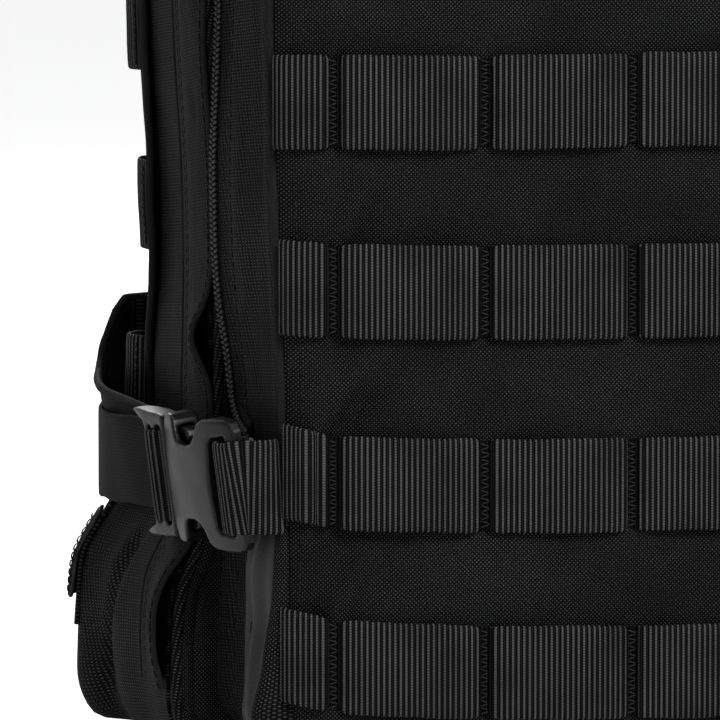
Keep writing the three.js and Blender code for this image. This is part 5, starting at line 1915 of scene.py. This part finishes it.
# carry handle: a webbing arch inside a padded sleeve, with an anchor at each foot
handle = catmull([(-54, 80, 441), (-54, 80, 462), (-47, 80, 479), (-32, 80, 489), (0, 80, 493),
                  (32, 80, 489), (47, 80, 479), (54, 80, 462), (54, 80, 441)], 0.4)
anchors = Parts()
for s in (1, -1):
    foot = [(s * 54, 82.6, 420), (s * 54, 84.0, 428), (s * 54, 83.2, 434), (s * 54, 81.2, 438),
            (s * 54, 80.2, 442.5)]
    webbing(anchors, catmull(foot, 0.4), (0, 1, 0.2), 12.0, 2.2, 0.26, 0.37, seed=52)
piece(anchors, "carry_handle_anchor", PACK, WEB, "webbing")
piece(webbing(Parts(), handle, BACK, 9.0, 2.6, 0.26, 0.37, seed=51),
      "carry_handle_webbing", "carry_handle", WEB, "webbing", "carry_handle")
grip = resample(handle[np.abs(handle[:, 0]) < 44], 1.5)
t = arc(grip) / arc(grip)[-1]
taper = np.sqrt(np.clip(1 - np.abs(2 * t - 1) ** 10, 0.05, 1))
radius = 5.2 * (1 + 0.16 * np.sin(t * 30)) * 0.92 * taper
piece(tube(Parts(), grip, np.minimum(radius, 5.1), 16, up=BACK, flat=0.86),
      "carry_handle_grip", "carry_handle", CORDURA, "cordura")
piece(stitches(Parts(), grip + [0, 4.2, 0], BACK, pitch=3.0, length=2.2),
      "carry_handle_stitching", "carry_handle", THREAD, "cordura")


# ---------------------------------------------------------------- straps on the back
lower_strap = catmull([(94, 109, 141), (94.5, 110, 136), (95, 109.3, 129), (97, 104, 118),
                       (106, 96, 86), (116, 86, 54), (119, 83.5, 44)], 0.4)
for side, s in (("right", 1), ("left", -1)):
    strap = webbing(Parts(), lower_strap * [s, 1, 1], (0.15 * s, 1, 0.1), WEB_WIDTH, 1.6, 0.28,
                    0.4, seed=61)
    ob = strap.make(f"{side}_lower_strap_webbing", WEB)
    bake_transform(ob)
    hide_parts(f"{side}_lower_shoulder_webbing")

for name in ("right_ladder_lock", "left_ladder_lock", "frame_sheet"):
    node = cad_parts[name]
    node.data.materials.clear()
    node.data.materials.append(PLASTIC)

path = catmull([(62, 127.7, 318), (60, 128.5, 300), (59, 128.5, 262), (58, 128.5, 240)], 0.4)
both_sides(webbing(Parts(), path, BACK, 20.0, 1.5, 0.24, 0.4, seed=71),
           "%s_sternum_strap_webbing", "%s_sternum_strap", WEB, "webbing", "%s_sternum_webbing")

# the harness buckles are the side ones scaled down
SMALL = (0.62, 0.74, 0.48)
piece(put(((58, 128.7, 239.5), (0, 0, -1), RIGHT, BACK), FEMALE, (0, 2), SMALL),
      "right_sternum_buckle_plate", "right_sternum_strap", PLASTIC, "plastic",
      "right_sternum_buckle")
buckle = put(((-58, 128.7, 212.0), UP, RIGHT, BACK), MALE, (0, 2), SMALL)
buckle.verts[0][:, 2] += 212.6 - buckle.verts[0][:, 2].min()
piece(buckle, "left_sternum_buckle_prongs", "left_sternum_strap", PLASTIC, "plastic",
      "left_sternum_buckle")

RIGHT_WAIST_Z, LEFT_WAIST_Z = 34.5, 66.5
for side, z, points in (
        ("right", RIGHT_WAIST_Z, [(91, 93), (60, 95), (0, 96), (-60, 95.5), (-68, 95.5)]),
        ("left", LEFT_WAIST_Z, [(-91, 93), (-60, 95), (0, 96), (60, 95.5), (67, 95.5)])):
    path = catmull(level_points(z, points), 0.5)
    path[:, 1] += 0.5 * noise(stack(path[:, 0], 0, z), (40, 9, 9), 98)
    piece(webbing(Parts(), path, BACK, WEB_WIDTH, 1.7, 0.28, 0.45, seed=int(z)),
          f"{side}_waist_strap", f"{side}_waist_belt", WEB, "webbing", f"{side}_waist_webbing")
piece(put(((-66.0, 95.5, RIGHT_WAIST_Z), (-1, 0, 0), UP, BACK), FEMALE, (0, 2),
          (0.64, 0.94, 0.92)),
      "right_waist_buckle_plate", "right_waist_belt", PLASTIC, "plastic", "right_waist_buckle")
buckle = put(((0, 95.5, LEFT_WAIST_Z), (-1, 0, 0), UP, BACK), MALE, (0, 2), (0.72, 0.94, 0.95))
buckle.verts[0][:, 0] += 91.0 - buckle.verts[0][:, 0].max()
piece(buckle, "left_waist_buckle_prongs", "left_waist_belt", PLASTIC, "plastic",
      "left_waist_buckle")


# ---------------------------------------------------------------- stage, in metres
WORLD_LIGHT = 0.35
FLOOR_HALF, FLOOR_Z = 40.0, -0.0008
# columns: name, place, aim, size, power in watts
LIGHTS = [
    ("key_front", (0.9, -2.8, 2.0), (-0.05, 0, 0.2), (1.2, 1.2), 82.0),
    ("fill_left", (-2.8, -1.4, 1.4), (-0.1, 0, 0.2), (1.6, 1.6), 11.0),
    ("rear_left", (-2.0, 3.0, 0.9), (-0.15, 0, 0.1), (1.3, 1.3), 3.0),
    ("top", (0.0, -0.4, 3.2), (0, 0, 0.2), (1.8, 1.8), 40.0),
    ("rear", (0.8, 3.0, 2.0), (0, 0, 0.2), (2.0, 2.0), 45.0),
]
CAMERA_AIM = Vector((-0.114, -0.097, 0.114))
CAMERA_DISTANCE = 1.7
CAMERA_TURN, CAMERA_RISE = math.radians(-14.0), math.radians(4.0)


def build_floor():
    """A floor that glows for the camera but hardly lights the pack."""
    n = material_net("studio_floor")
    camera_ray = n.node("LightPath").outputs["Is Camera Ray"]
    n.set(Base_Color=grey(0.82), Roughness=0.9, Specular_IOR_Level=0.1,
          Emission_Color=(1.0, 1.0, 1.0),
          Emission_Strength=n.ramp(camera_ray, span=(0.0, 1.0), to=(0.05, 0.75), smooth=False))
    me = bpy.data.meshes.new("floor")
    corners = [(a * FLOOR_HALF, b * FLOOR_HALF, FLOOR_Z)
               for a, b in ((-1, -1), (1, -1), (1, 1), (-1, 1))]
    me.from_pydata(corners, [], [(0, 1, 2, 3)])
    me.materials.append(n.block)
    ob = bpy.data.objects.new("floor", me)
    SCENE.collection.objects.link(ob)


def build_world():
    """White to the camera; as light, darker on the front side and lighter behind the pack."""
    SCENE.world = bpy.data.worlds.new("studio")
    n = Net(SCENE.world)
    output = n.node("OutputWorld")
    background = n.node("Background")
    depth = n.split(n.node("TexCoord").outputs["Generated"])[1]
    light = n.ramp(depth, span=(0.25, 0.95), to=(WORLD_LIGHT * 0.35, WORLD_LIGHT * 1.7))
    camera_ray = n.node("LightPath").outputs["Is Camera Ray"]
    n.put(background.inputs[0], (1, 1, 1))
    n.put(background.inputs[1],
          n.ramp(camera_ray, span=(0.0, 1.0), to=(light, 1.0), smooth=False))
    n.put(output.inputs[0], background.outputs[0])


def add_light(name, place, aim, size, power):
    light = bpy.data.lights.new(name, "AREA")
    light.energy = power
    light.shape = "RECTANGLE"
    light.size, light.size_y = size
    ob = bpy.data.objects.new(name, light)
    SCENE.collection.objects.link(ob)
    ob.location = place
    ob.rotation_euler = (Vector(aim) - Vector(place)).to_track_quat("-Z", "Y").to_euler()


def add_camera():
    lens = bpy.data.cameras.new("camera")
    lens.sensor_width = 36.0
    lens.lens = 323.0
    lens.clip_end = 200.0
    camera = bpy.data.objects.new("camera", lens)
    SCENE.collection.objects.link(camera)
    backwards = Vector((math.sin(CAMERA_TURN) * math.cos(CAMERA_RISE),
                        -math.cos(CAMERA_TURN) * math.cos(CAMERA_RISE), math.sin(CAMERA_RISE)))
    camera.location = CAMERA_AIM + CAMERA_DISTANCE * backwards
    camera.rotation_euler = backwards.to_track_quat("Z", "Y").to_euler()
    SCENE.camera = camera


build_floor()
build_world()
for light_row in LIGHTS:
    add_light(*light_row)
add_camera()
SCENE.view_settings.view_transform = "Standard"
SCENE.view_settings.look = "None"

bpy.context.view_layer.update()
